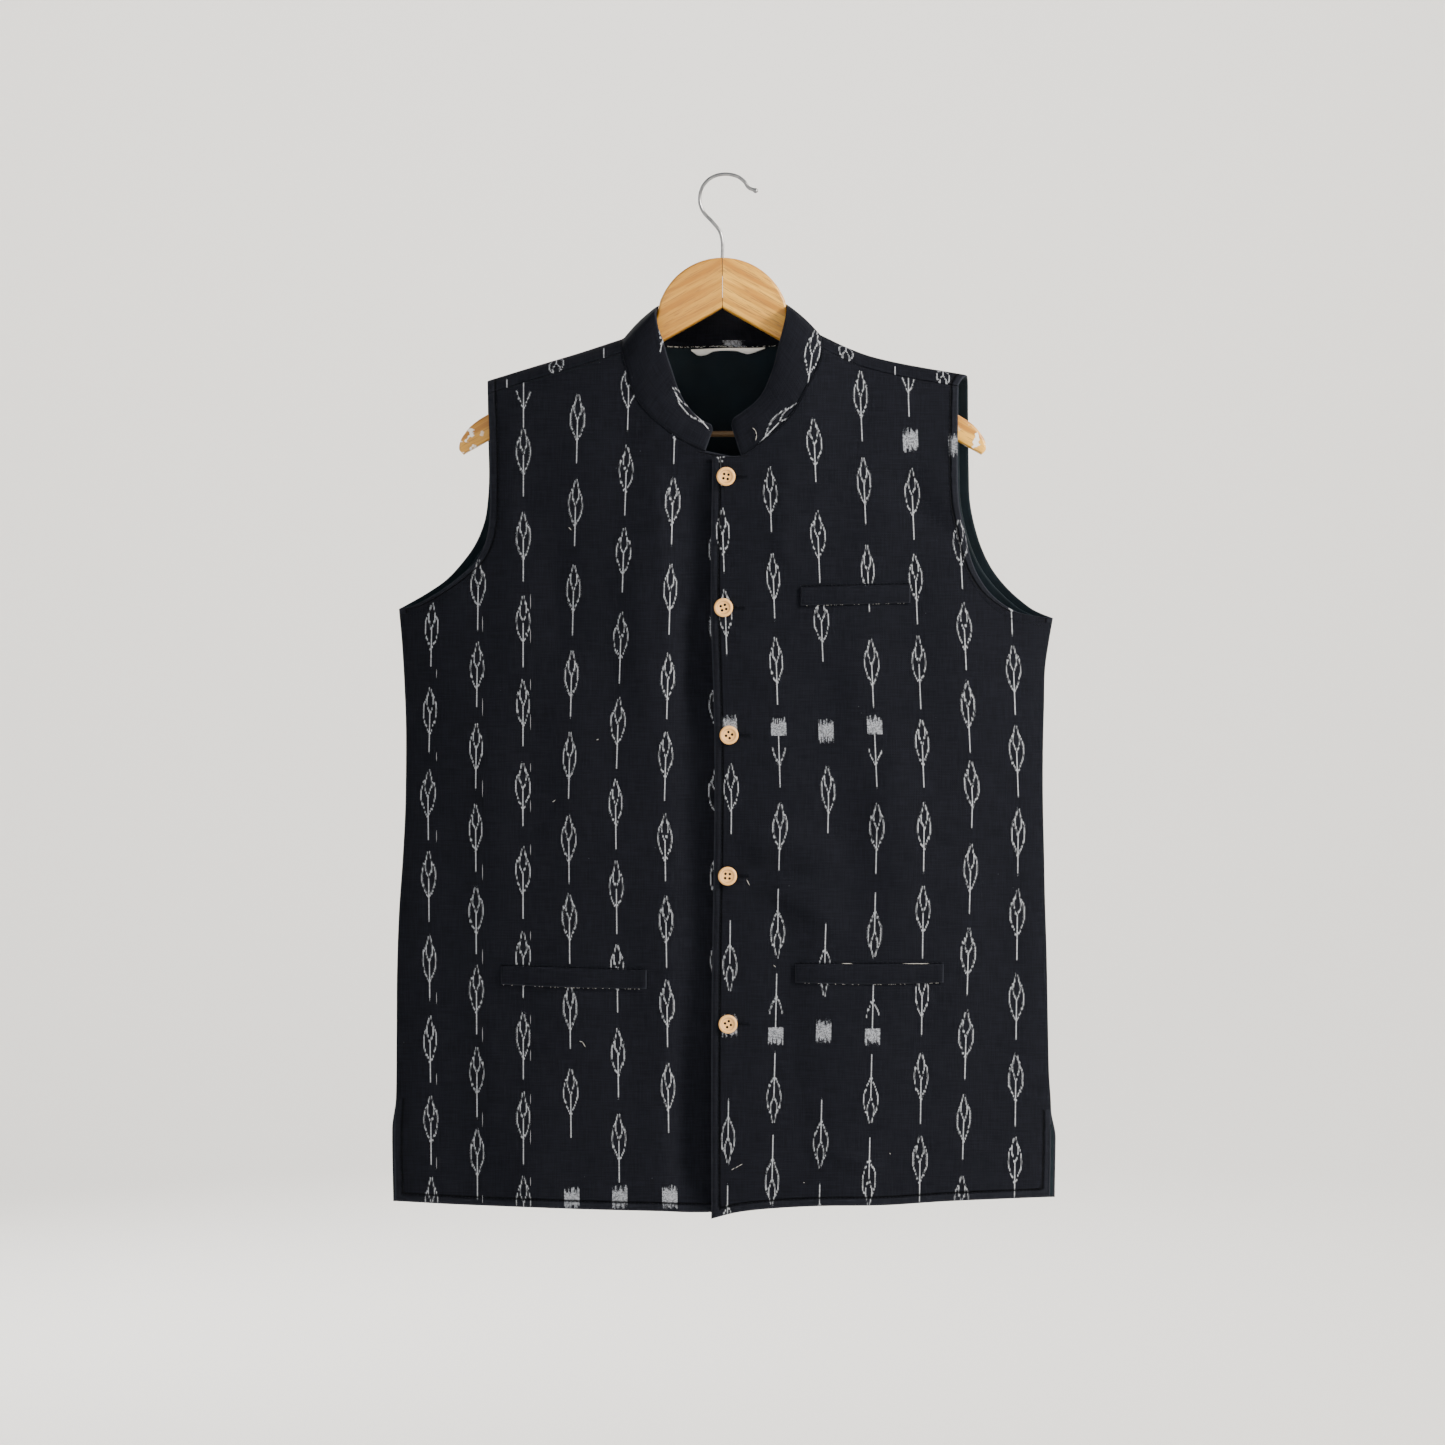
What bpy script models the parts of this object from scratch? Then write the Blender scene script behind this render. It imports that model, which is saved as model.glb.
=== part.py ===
# A sleeveless nehru jacket that hangs, buttoned, on a wooden clothes hanger.
# Units below are millimetres, turned to metres when a mesh is made. +Z is up, the wearer's front
# faces -Y, and +X is the side of the wearer's left arm. The origin is under the top of the hook.

import bisect
import math

import bmesh
import bpy
from mathutils import Matrix, Vector

MM = 0.001

# Walls and clearances
GAP = 0.3
CLOTH = 2.0
COLLAR_WALL = 3.0
LINING_WALL = 1.0
WELT_WALL = 1.2
WELT_LIFT = 0.8
LABEL_WALL = 1.0
LINING_LIFT = 0.9

# The outline was measured in the plane y = 0, as an eye at this distance and height sees it.
EYE_DISTANCE = 3000.0
EYE_HEIGHT = -459.0

# Depth of the hanging jacket. A panel rolls over the shoulder as a quarter of an ellipse that is
# ROLL_REACH tall, and then hangs down. ROLL is the length of travel for one radian of that roll.
ROLL = 80.0
ROLL_REACH = {"front": 130.0, "back": 95.0}
LENS_POWER = 2.2
LENS_EDGE = 0.75
# Columns: height z, depth at the middle of the panel.
DEPTH = {
    "front": [(-870, 43), (-700, 41), (-500, 45), (-300, 50), (-140, 47)],
    "back": [(-870, 34), (-700, 33), (-500, 37), (-300, 42), (-140, 42)],
}

# Shoulder ridge. Columns: distance from the middle, height z.
NECK_TOP = -112.0
RIDGE = {
    "left": [(84.8, -137.0), (120, -148.5), (160, -160.5), (197.4, -172.0), (206, -174.5)],
    "right": [(84.3, -134.4), (103.7, -143.6), (124, -151.2), (154.6, -158.3), (206, -167.2)],
}
SEAM_DROP = 10.5

# Side seams. Columns: height z, distance from the middle.
SIDE = {
    "left": [
        (-861, 275.5), (-800, 276.4), (-774.5, 274.7), (-726.6, 274.2), (-668.6, 273.8),
        (-620, 272.2), (-573, 269), (-534.7, 267), (-496, 266.3), (-457.6, 266.4),
        (-419, 268), (-389.8, 269.8), (-363.7, 272.2),
    ],
    "right": [
        (-857.6, 275.5), (-783, 276.4), (-754, 274.7), (-713, 273.8), (-652.7, 272.7),
        (-607, 271.3), (-567, 270.5), (-525.8, 269.6), (-485.5, 269.6), (-444, 270.5),
        (-414, 271.3), (-389.8, 274.7), (-371.3, 278),
    ],
}

# Armholes, from the shoulder to the underarm. Columns: distance from the middle, height z.
ARMHOLE = {
    ("front", "left"): [
        (197.4, -182.5), (196, -220), (195.7, -282.2), (198.6, -304.9), (206.6, -322.6),
        (216.7, -332.6), (232.7, -345.2), (249, -355.3), (262, -361.6), (272.2, -363.7),
    ],
    ("front", "right"): [
        (198.2, -177.2), (197.9, -205), (197.7, -245.3), (199, -276), (203.3, -296.5),
        (208.3, -319.2), (215.6, -336.8), (227.6, -352.8), (246, -365.4), (262.5, -369.3),
        (278, -371.3),
    ],
    ("back", "left"): [
        (196.9, -216.7), (196.2, -250.3), (197.4, -272.2), (200, -289), (207.5, -308.8),
        (218, -323.9), (232, -339), (248, -350.1), (262, -358.2), (272.2, -363.7),
    ],
    ("back", "right"): [
        (206.5, -205), (207, -245.3), (208.3, -276), (215.6, -306.6), (225.8, -328.9),
        (240, -346.9), (258.4, -362.5), (268, -367.5), (278, -371.3),
    ],
}
SHOULDER_END = {"left": (197.4, 197.6), "right": (198.2, 205.0)}

# Front neckline from the shoulder seam to the collar's end. Columns: x, height z.
NECKLINE = {
    "left": [
        (-84.8, -147.5), (-82.3, -157), (-78.4, -173), (-70.6, -189), (-58.8, -202.9),
        (-49.6, -210.4), (-38.6, -218.7), (-21.8, -227.4), (-14.3, -230.7),
    ],
    "right": [
        (84.3, -144.9), (82.4, -152.5), (77.9, -164.3), (70.4, -177.2), (59.6, -197.4),
        (48.7, -210.5), (38.2, -219), (22.2, -230.7), (15.1, -235),
    ],
}
NECK_BACK_Z = -142.0
NECK_SQUARENESS = 0.8

# Collar top edge from the shoulder seam to its front end. Columns: x, height z.
COLLAR_TOP = {
    "left": [
        (-55.2, -113), (-52.9, -126.8), (-49.1, -137.5), (-45.4, -151.2), (-41.2, -164.3),
        (-37, -177.2), (-31.4, -189), (-22.8, -199.7), (-14.3, -206.2), (-9, -208.6),
        (-7.5, -213.5),
    ],
    "right": [
        (53.6, -110), (51.7, -119.3), (47.4, -136.5), (44.5, -149.4), (42, -160),
        (38.2, -170.5), (33.9, -180.4), (26.5, -189.8), (15.2, -198.6), (8.8, -203.2),
        (6.8, -209.5),
    ],
}
COLLAR_BACK_TOP_Z = -102.0
COLLAR_LEAN = {"front": 0.8, "back": 0.96}
COLLAR_SIDE_ROOM = 1.5
COLLAR_BULGE = 1.5

# Front edges. The overlapping front's edge has columns: height z, x.
OVERLAP_EDGE = [(-876, -9.5), (-700, -9.2), (-515, -6.7), (-440, -7.6), (-356, -10), (-236, -8.6)]
OVERLAP_TOP_Z = -236.0
UNDERLAP_EDGE = 18.0
UNDERLAP_TOP_Z = -237.5
OVERLAP_LIFT = CLOTH + 0.4
UNDERLAP_SINK = 1.4
OVERLAP_FLAT = 22.0
OVERLAP_FADE = 120.0

# Hems. Columns: x, height z.
HEM = {
    "front_right": [
        (-275.5, -861), (-229, -863.5), (-171, -866), (-114, -868), (-56, -869.4),
        (-9.5, -870), (18, -866.5),
    ],
    "front_left": [
        (-9.5, -876), (11.8, -870.6), (42.8, -867.2), (83.2, -865.2), (134.4, -864.6),
        (184.8, -861.4), (236, -859.1), (275.5, -857.6),
    ],
    "back": [(-275.5, -861), (-140, -862), (0, -862), (140, -860), (275.5, -857.6)],
}
VENT_TOP = {"left": -774.5, "right": -783.0}
VENT_SLIT = 1.6
VENT_PEEK = {"left": 1.5, "right": 4.0}

# Largest folds: a trough or ridge about a line from (x0, z0) to (x1, z1), this wide to each side,
# fading over its ends. Height is how far it stands out, or in where it is negative.
FOLDS = {
    "front_right": [
        {"x0": -25, "z0": -330, "x1": -31, "z1": -900, "wide": 15, "height": -6.5},
        {"x0": -66, "z0": -215, "x1": -64, "z1": -480, "wide": 20, "height": 2.6},
        {"x0": -180, "z0": -300, "x1": -110, "z1": -430, "wide": 26, "height": -2.4},
        {"x0": -232, "z0": -470, "x1": -225, "z1": -900, "wide": 28, "height": -3.0},
        {"x0": -140, "z0": -640, "x1": -150, "z1": -900, "wide": 30, "height": 2.6},
    ],
    "front_left": [
        {"x0": 48, "z0": -330, "x1": 170, "z1": -235, "wide": 20, "height": -2.4},
        {"x0": 46, "z0": -592, "x1": 130, "z1": -520, "wide": 20, "height": -2.6},
        {"x0": 95, "z0": -560, "x1": 115, "z1": -900, "wide": 30, "height": 2.6},
        {"x0": 228, "z0": -430, "x1": 236, "z1": -800, "wide": 24, "height": -3.0},
        {"x0": 244, "z0": -762, "x1": 276, "z1": -775, "wide": 8, "height": -1.6},
    ],
    "back": [
        {"x0": -70, "z0": -240, "x1": -96, "z1": -900, "wide": 26, "height": 3.2},
        {"x0": 12, "z0": -330, "x1": 4, "z1": -900, "wide": 30, "height": -4.2},
        {"x0": 104, "z0": -300, "x1": 128, "z1": -900, "wide": 26, "height": 3.0},
        {"x0": -205, "z0": -420, "x1": -214, "z1": -820, "wide": 24, "height": -2.6},
        {"x0": 196, "z0": -480, "x1": 220, "z1": -900, "wide": 24, "height": -2.4},
    ],
}
FOLD_END = 90.0

# Welts of the pockets. Columns: corner x and z at the side near the middle, then at the far side.
WELTS = {
    "welt_chest": {"panel": "front_left", "near": (65.6, -345.0), "far": (157.6, -342.7)},
    "welt_left": {"panel": "front_left", "near": (61.3, -661.6), "far": (185.6, -661.6)},
    "welt_right": {"panel": "front_right", "near": (-63.6, -667.0), "far": (-186.0, -663.3)},
}
WELT_HEIGHT = 15.8
WELT_COLUMNS = 9

# Buttons. Columns: x, height z, turn in degrees.
BUTTONS = [
    (2.9, -252.4, 10), (0.8, -362.5, -18), (5.5, -469.6, 34), (4.2, -588.0, 4), (4.6, -712.3, -30),
]
BUTTON_RADIUS = 7.75
BUTTON_STEPS = 16
# Columns: radius, height over the button's back.
BUTTON_PROFILE = [
    (0, 1.7), (4.5, 1.75), (5.5, 2.6), (6.8, 2.7), (BUTTON_RADIUS, 1.8), (7.3, 0.5), (6.2, 0), (0, 0),
]
BUTTON_HOLE_RADIUS = 0.85
BUTTON_HOLE_OFFSET = 1.9

# Label inside the back neck
LABEL_HALF_WIDTH = 30.0
LABEL_CENTRE_X = 3.5
LABEL_NECK_DROP = 4.0
LABEL_LIFT = 0.9
LABEL_HEIGHT = 7.0
LABEL_WAIST = 3.0

# Hanger. The arms' top and bottom edges are straight lines of height over distance.
HANGER_THICK = 12.0
HANGER_EDGE = 3.2
HUMP_CENTRE_Z = -125.0
HUMP_RADIUS = 56.0
ARM_TOP = {"x": 86.0, "z": -145.9, "slope": -0.49}
# Where the hump's side runs down to the arm. Columns: distance from the middle, height z.
HUMP_FOOT = [(67.0, -135.2), (59.5, -130.0), (54.0, -122.5), (50.5, -113.5), (48.9, -105.0)]
HUMP_SIDE_ANGLE = 29.4
ARM_BOTTOM = {"x": 0.0, "z": -111.0, "slope": -0.565}
# Rounded end of an arm, from its lower corner up to its top edge. Columns: distance from the
# middle, height z.
ARM_TIP = [
    (217.5, -234.0), (220.9, -230.2), (220.2, -223.0), (216.5, -216.5), (211.0, -210.0), (204.0, -204.6),
]
BAR_Z = -216.7
BAR_RADIUS = 2.5
BAR_END = 203.0
HOOK_RADIUS = 1.5
SHANK_END_Z = -84.0
# Middle line of the hook's wire, from the wood to its rounded tip. Columns: x, height z.
HOOK = [
    (-0.3, SHANK_END_Z), (-0.3, -68.7), (-0.3, -54.2), (-2.5, -46.2), (-8.7, -38.3), (-16, -30.2),
    (-19.3, -20.6), (-17.6, -10.6), (-12.0, -3.2), (-4.4, 0.7), (4.6, 1.5), (13.0, -0.6),
    (18.5, -4.9), (21.8, -9.6), (26.6, -11.8),
]
HOOK_POINTS = 34
HOOK_TIP_SCALE = 1.45

# Grid: rows of a front down its neckline, chest and skirt, and columns from the front edge out.
COLLAR_SHARES = [0, 0.14, 0.28, 0.42, 0.56, 0.7, 0.82, 0.93, 1.0]
ARMHOLE_SHARE_AT_NECK = 0.36
CHEST_ROWS = 8
SKIRT_ROWS = 12
FRONT_COLUMNS = 9
COLUMN_CROWDING = 1.6
BACK_NECK_COLUMNS = 5
BACK_ARM_ROWS = 13
COLLAR_ROWS = 4
LINING_COLUMNS_LEFT_OUT = 2

# Materials: base colour, roughness, metallic.
MATERIALS = {
    "black_cotton": ((0.012, 0.014, 0.018), 0.85, 0.0),
    "dark_lining": ((0.004, 0.006, 0.008), 0.45, 0.0),
    "label_cotton": ((0.82, 0.80, 0.76), 0.8, 0.0),
    "button_wood": ((0.68, 0.42, 0.20), 0.5, 0.0),
    "hanger_wood": ((0.69, 0.45, 0.16), 0.45, 0.0),
    "hook_steel": ((0.45, 0.45, 0.46), 0.35, 1.0),
}


def lerp(a, b, share):
    return a + (b - a) * share


def ease(low, high, value):
    share = min(max((value - low) / (high - low), 0.0), 1.0)
    return share * share * (3.0 - 2.0 * share)


# Cubic curve through a table of (key, value) rows with rising keys, held level past its ends.
def smooth(rows, at):
    keys = [row[0] for row in rows]
    if at <= keys[0]:
        return rows[0][1]
    if at >= keys[-1]:
        return rows[-1][1]

    def slope(index):
        low = max(index - 1, 0)
        high = min(index + 1, len(rows) - 1)
        return (rows[high][1] - rows[low][1]) / (keys[high] - keys[low])

    index = bisect.bisect_right(keys, at) - 1
    step = keys[index + 1] - keys[index]
    s = (at - keys[index]) / step
    start = rows[index][1] * (1 + 2 * s) + slope(index) * step * s
    end = rows[index + 1][1] * (3 - 2 * s) - slope(index + 1) * step * (1 - s)
    return start * (1 - s) ** 2 + end * s ** 2


# Smooth route through points; the function it returns takes a share of the route's length.
def route(points):
    run = [0.0]
    for a, b in zip(points, points[1:]):
        run.append(run[-1] + math.dist(a, b))
    columns = [list(zip(run, column)) for column in zip(*points)]

    def at(share):
        return tuple(smooth(column, share * run[-1]) for column in columns)

    return at


def side_of(x):
    return "left" if x < 0 else "right"


def ridge(x):
    rows = RIDGE[side_of(x)]
    reach, neck = rows[0]
    if abs(x) < reach:
        return neck + (NECK_TOP - neck) * (1 - (x / reach) ** 2)
    return smooth(rows, abs(x))


# How far a fold stands out at (x, z): a bell across its line that eases in at both ends.
def folds(panel, x, z):
    total = 0.0
    for fold in FOLDS[panel]:
        dx = fold["x1"] - fold["x0"]
        dz = fold["z1"] - fold["z0"]
        length = math.hypot(dx, dz)
        along = ((x - fold["x0"]) * dx + (z - fold["z0"]) * dz) / length
        across = ((x - fold["x0"]) * dz - (z - fold["z0"]) * dx) / length
        inside = ease(0, FOLD_END, along) * ease(0, FOLD_END, length - along)
        total += fold["height"] * inside * math.exp(-((across / fold["wide"]) ** 2))
    return total


# Point of the jacket's outer surface. Travel is 0 on the shoulder ridge, negative down the front
# and positive down the back.
def surface(panel, x, travel):
    face = "front" if travel < 0 else "back"
    turn = min(abs(travel) / ROLL, math.pi / 2)
    past = max(abs(travel) - ROLL * math.pi / 2, 0.0)
    z = ridge(x) - ROLL_REACH[face] * (1 - math.cos(turn)) - past
    ratio = min(abs(x) / smooth(SIDE[side_of(x)], z), 1.0)
    lens = (1 - ratio ** LENS_POWER) ** LENS_EDGE
    out = (smooth(DEPTH[face], z) * lens + folds(panel, x, z) * math.sqrt(lens)) * math.sin(turn)
    return Vector((x, -out if face == "front" else out, z))


def travel_at(face, x, z):
    drop = ridge(x) - z
    reach = ROLL_REACH[face]
    if drop < reach:
        length = ROLL * math.acos(1 - drop / reach)
    else:
        length = ROLL * math.pi / 2 + drop - reach
    return -length if face == "front" else length


def normal(panel, x, travel):
    across = surface(panel, x + 1, travel) - surface(panel, x - 1, travel)
    down = surface(panel, x, travel + 1) - surface(panel, x, travel - 1)
    return across.cross(down).normalized()


# The real place of a point whose x and z were measured in the picture's plane.
def real(point):
    scale = 1 + point.y / EYE_DISTANCE
    return Vector((point.x * scale, point.y, EYE_HEIGHT + (point.z - EYE_HEIGHT) * scale)) * MM


def material(name):
    if name in bpy.data.materials:
        return bpy.data.materials[name]
    colour, roughness, metallic = MATERIALS[name]
    made = bpy.data.materials.new(name)
    made.use_nodes = True
    shader = made.node_tree.nodes["Principled BSDF"]
    shader.inputs["Base Color"].default_value = (*colour, 1.0)
    shader.inputs["Roughness"].default_value = roughness
    shader.inputs["Metallic"].default_value = metallic
    return made


def add_object(name, data, slot, collection):
    made = bpy.data.objects.new(name, data)
    if slot:
        made.data.materials.clear()
        made.data.materials.append(material(slot))
    collection.objects.link(made)
    return made


# Closed wall between two grids of points, an outer and an inner one, joined round their rim.
def wall(name, outer, inner, slot, collection):
    rows = len(outer)
    columns = len(outer[0])
    mesh = bmesh.new()
    faces = [[[mesh.verts.new(real(p)) for p in row] for row in grid] for grid in (outer, inner)]
    for grid in faces:
        for row in range(rows - 1):
            for column in range(columns - 1):
                mesh.faces.new((
                    grid[row][column], grid[row][column + 1],
                    grid[row + 1][column + 1], grid[row + 1][column],
                ))
    rim = [(0, column) for column in range(columns)]
    rim += [(row, columns - 1) for row in range(1, rows)]
    rim += [(rows - 1, column) for column in range(columns - 2, -1, -1)]
    rim += [(row, 0) for row in range(rows - 2, 0, -1)]
    for (row, column), (next_row, next_column) in zip(rim, rim[1:] + rim[:1]):
        mesh.faces.new((
            faces[0][row][column], faces[0][next_row][next_column],
            faces[1][next_row][next_column], faces[1][row][column],
        ))
    bmesh.ops.recalc_face_normals(mesh, faces=mesh.faces)
    data = bpy.data.meshes.new(name)
    mesh.to_mesh(data)
    mesh.free()
    data.shade_smooth()
    data.set_sharp_from_angle(angle=math.radians(50))
    return add_object(name, data, slot, collection)


def hem_z(panel, x):
    return smooth(HEM[panel], x)


# Shares of the way from the front edge to the side, closer together near the side.
def column_shares():
    steps = range(FRONT_COLUMNS + 1)
    return [1 - (1 - step / FRONT_COLUMNS) ** COLUMN_CROWDING for step in steps]


def skirt_heights(side):
    top = ARMHOLE[("front", side)][-1][1]
    bottom = SIDE[side][0][0]
    return [lerp(top, bottom, step / SKIRT_ROWS) for step in range(SKIRT_ROWS + 1)]


# How far the two walls stand off the plane y = 0 at the side: the seam's gap, or the open vent's.
def side_offset(side, z):
    return GAP / 2 + VENT_SLIT * ease(0, 25, VENT_TOP[side] - z)


# Rows of a front: its inner point, its outer point and whether the outer point is on the side seam.
def front_stations(panel, side):
    sign = -1 if side == "left" else 1
    neckline = route(NECKLINE[side])
    armhole = route([(sign * x, z) for x, z in ARMHOLE[("front", side)]])
    if panel == "front_left":
        edge = (smooth(OVERLAP_EDGE, OVERLAP_TOP_Z), OVERLAP_TOP_Z)
    else:
        edge = (UNDERLAP_EDGE, UNDERLAP_TOP_Z)
    stations = []
    for share in COLLAR_SHARES:
        arm = armhole(share * ARMHOLE_SHARE_AT_NECK * 0.93)
        stations.append((neckline(share), arm, False))
    stations.append((edge, armhole(ARMHOLE_SHARE_AT_NECK), False))
    heights = skirt_heights(side)
    for step in range(1, CHEST_ROWS + 1):
        share = step / CHEST_ROWS
        z = lerp(edge[1], heights[0], share)
        arm = armhole(lerp(ARMHOLE_SHARE_AT_NECK, 1.0, share))
        stations.append(((edge_x(panel, z), z), arm, step == CHEST_ROWS))
    bottom = hem_z(panel, edge_x(panel, heights[-1]))
    for step in range(1, SKIRT_ROWS + 1):
        z = lerp(heights[0], bottom, step / SKIRT_ROWS)
        out = sign * smooth(SIDE[side], heights[step])
        stations.append(((edge_x(panel, z), z), (out, heights[step]), True))
    return stations


def edge_x(panel, z):
    return smooth(OVERLAP_EDGE, z) if panel == "front_left" else UNDERLAP_EDGE


# The overlapping front stands off near the middle, and the other one sinks behind it.
def lift(panel, x):
    if panel != "front_left":
        return -UNDERLAP_SINK * ease(UNDERLAP_EDGE - 38, UNDERLAP_EDGE - 22, x)
    return OVERLAP_LIFT * (1 - ease(OVERLAP_FLAT, OVERLAP_FADE, x))


def panel_point(panel, x, z, out=0.0):
    travel = travel_at("front", x, z)
    return surface(panel, x, travel) + normal(panel, x, travel) * (lift(panel, x) + out)


def front_grids(panel, side):
    stations = front_stations(panel, side)
    sign = -1 if side == "left" else 1
    neck_rows = len(COLLAR_SHARES)
    outer = []
    inner = []
    for row, (near, far, on_seam) in enumerate(stations):
        outer_row = []
        inner_row = []
        top_fade = max(1 - row / neck_rows, 0) ** 2
        hem_fade = max((row - len(stations) + 1) / SKIRT_ROWS + 1, 0) ** 3
        for share in column_shares():
            x = lerp(near[0], far[0], share)
            z = lerp(near[1], far[1], share)
            seam_x = lerp(stations[0][0][0], stations[0][1][0], share)
            seam_line = lerp(stations[0][0][1], stations[0][1][1], share)
            z += top_fade * (ridge(seam_x) - SEAM_DROP - seam_line)
            hem_x = lerp(stations[-1][0][0], stations[-1][1][0], share)
            hem_line = lerp(stations[-1][0][1], stations[-1][1][1], share)
            z += hem_fade * (hem_z(panel, hem_x) - hem_line)
            travel = travel_at("front", x, z)
            if row == 0:
                travel -= GAP * 0.7
            out = normal(panel, x, travel)
            point = surface(panel, x, travel) + out * lift(panel, x)
            under = point - out * CLOTH
            if on_seam and share == 1:
                point = Vector((x, -side_offset(side, z), z))
                under = point - Vector((sign * CLOTH, 0, 0))
            outer_row.append(point)
            inner_row.append(under)
        outer.append(outer_row)
        inner.append(inner_row)
    return outer, inner


def seam_travel():
    return travel_at("front", 150, ridge(150) - SEAM_DROP)


def squared(value):
    return max(value, 0.0) ** NECK_SQUARENESS


# Back neckline: an oval in x and travel, squarer than an ellipse, from the shoulder seam (turn 0)
# to the middle of the back.
def back_neck(side, turn):
    reach = RIDGE[side][0][0]
    sign = -1 if side == "left" else 1
    start = seam_travel() + GAP * 0.7
    middle = travel_at("back", 0, NECK_BACK_Z)
    return sign * reach * squared(math.cos(turn)), lerp(start, middle, squared(math.sin(turn)))


# Columns of the back from its left to its right: share of the half width, signed, and top travel.
def back_columns():
    columns = []
    for side, sign in (("left", -1), ("right", 1)):
        reach = RIDGE[side][0][0]
        end = SHOULDER_END[side][0]
        half = []
        for share in column_shares():
            half.append((sign * lerp(reach, end, share) / end, seam_travel() + GAP * 0.7))
        half.reverse()
        for step in range(1, BACK_NECK_COLUMNS + 1):
            x, travel = back_neck(side, math.pi / 2 * step / BACK_NECK_COLUMNS)
            half.append((x / end, travel))
        columns.append(half)
    return columns[0] + columns[1][-2::-1]


# Outer edge of the back from the shoulder seam over the ridge and down the armhole.
def back_armhole(side):
    sign = -1 if side == "left" else 1
    seam_x, ridge_x = SHOULDER_END[side]
    points = [(sign * seam_x, seam_travel() + GAP * 0.7), (sign * ridge_x, 0.0)]
    for x, z in ARMHOLE[("back", side)]:
        points.append((sign * x, travel_at("back", sign * x, z)))
    return route(points)


# Place of the back's grid at a row and a column, as x and travel.
def back_place(column, row):
    share, top = column
    side = side_of(share)
    heights = skirt_heights(side)
    if row <= BACK_ARM_ROWS:
        part = (1 - math.cos(math.pi * row / BACK_ARM_ROWS)) / 2
        edge_place = back_armhole(side)(part)
        x = abs(share) * edge_place[0]
        low = travel_at("back", x, heights[0])
        return x, lerp(top, low, (edge_place[1] - seam_travel()) / (low_edge(side) - seam_travel()))
    step = row - BACK_ARM_ROWS
    x = share * smooth(SIDE[side], heights[step])
    part = step / SKIRT_ROWS
    return x, travel_at("back", x, lerp(heights[0], hem_z("back", x), part))


def low_edge(side):
    sign = -1 if side == "left" else 1
    x, z = ARMHOLE[("back", side)][-1]
    return travel_at("back", sign * x, z)


def back_grids(inset, thick):
    columns = back_columns()
    outer = []
    inner = []
    for row in range(BACK_ARM_ROWS + SKIRT_ROWS + 1):
        outer_row = []
        inner_row = []
        for column in columns:
            x, travel = back_place(column, row)
            out = normal("back", x, travel)
            point = surface("back", x, travel) - out * inset
            under = point - out * thick
            if row >= BACK_ARM_ROWS and abs(column[0]) == 1:
                side = side_of(x)
                x += math.copysign(VENT_PEEK[side] * ease(0, 25, VENT_TOP[side] - point.z), x)
                point = Vector((x, side_offset(side, point.z), point.z))
                under = point - Vector((math.copysign(thick, x), 0, 0))
            outer_row.append(point)
            inner_row.append(under)
        outer.append(outer_row)
        inner.append(inner_row)
    return outer, inner


# Lining of the back: the back's own grid without its rim, and with every second row of its
# skirt, moved in by the cloth.
def lining_grids():
    left_out = LINING_COLUMNS_LEFT_OUT
    grids = back_grids(CLOTH + LINING_LIFT, LINING_WALL)
    rows = list(range(1, BACK_ARM_ROWS + 2))
    rows += range(BACK_ARM_ROWS + 3, BACK_ARM_ROWS + SKIRT_ROWS, 2)
    return tuple([grid[row][left_out:-left_out] for row in rows] for grid in grids)


# Travel of the back neckline at a distance from the middle.
def neck_travel(side, x):
    reach = RIDGE[side][0][0]
    if abs(x) >= reach:
        return seam_travel()
    return back_neck(side, math.acos((abs(x) / reach) ** (1 / NECK_SQUARENESS)))[1]


# Points of the whole neckline from the left collar end round the back to the right one, each with
# its surface normal and its point on the collar's top edge.
def collar_ring():
    ring = []
    for side, sign in (("left", -1), ("right", 1)):
        panel = "front_right" if side == "left" else "front_left"
        neckline = route(NECKLINE[side])
        top = route(COLLAR_TOP[side])
        half = []
        for share in reversed(COLLAR_SHARES):
            x, z = neckline(share)
            travel = travel_at("front", x, z)
            out = normal(panel, x, travel)
            base = surface(panel, x, travel) + out * lift(panel, x)
            x_top, z_top = top(share)
            x_top += sign * COLLAR_SIDE_ROOM * (1 - share) ** 2
            lean = lerp(COLLAR_LEAN["back"], COLLAR_LEAN["front"], min(4 * share, 1))
            half.append((base, out, Vector((x_top, base.y * lean, z_top))))
        seam_top = COLLAR_TOP[side][0]
        for step in range(1, BACK_NECK_COLUMNS + 1):
            turn = math.pi / 2 * step / BACK_NECK_COLUMNS
            x, travel = back_neck(side, turn)
            base = surface("back", x, travel)
            x_top = (seam_top[0] + sign * COLLAR_SIDE_ROOM) * squared(math.cos(turn))
            z_top = lerp(seam_top[1], COLLAR_BACK_TOP_Z, squared(math.sin(turn)))
            edge = Vector((x_top, base.y * COLLAR_LEAN["back"], z_top))
            half.append((base, normal("back", x, travel), edge))
        ring.append(half)
    return ring[0] + ring[1][-2::-1]


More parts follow.
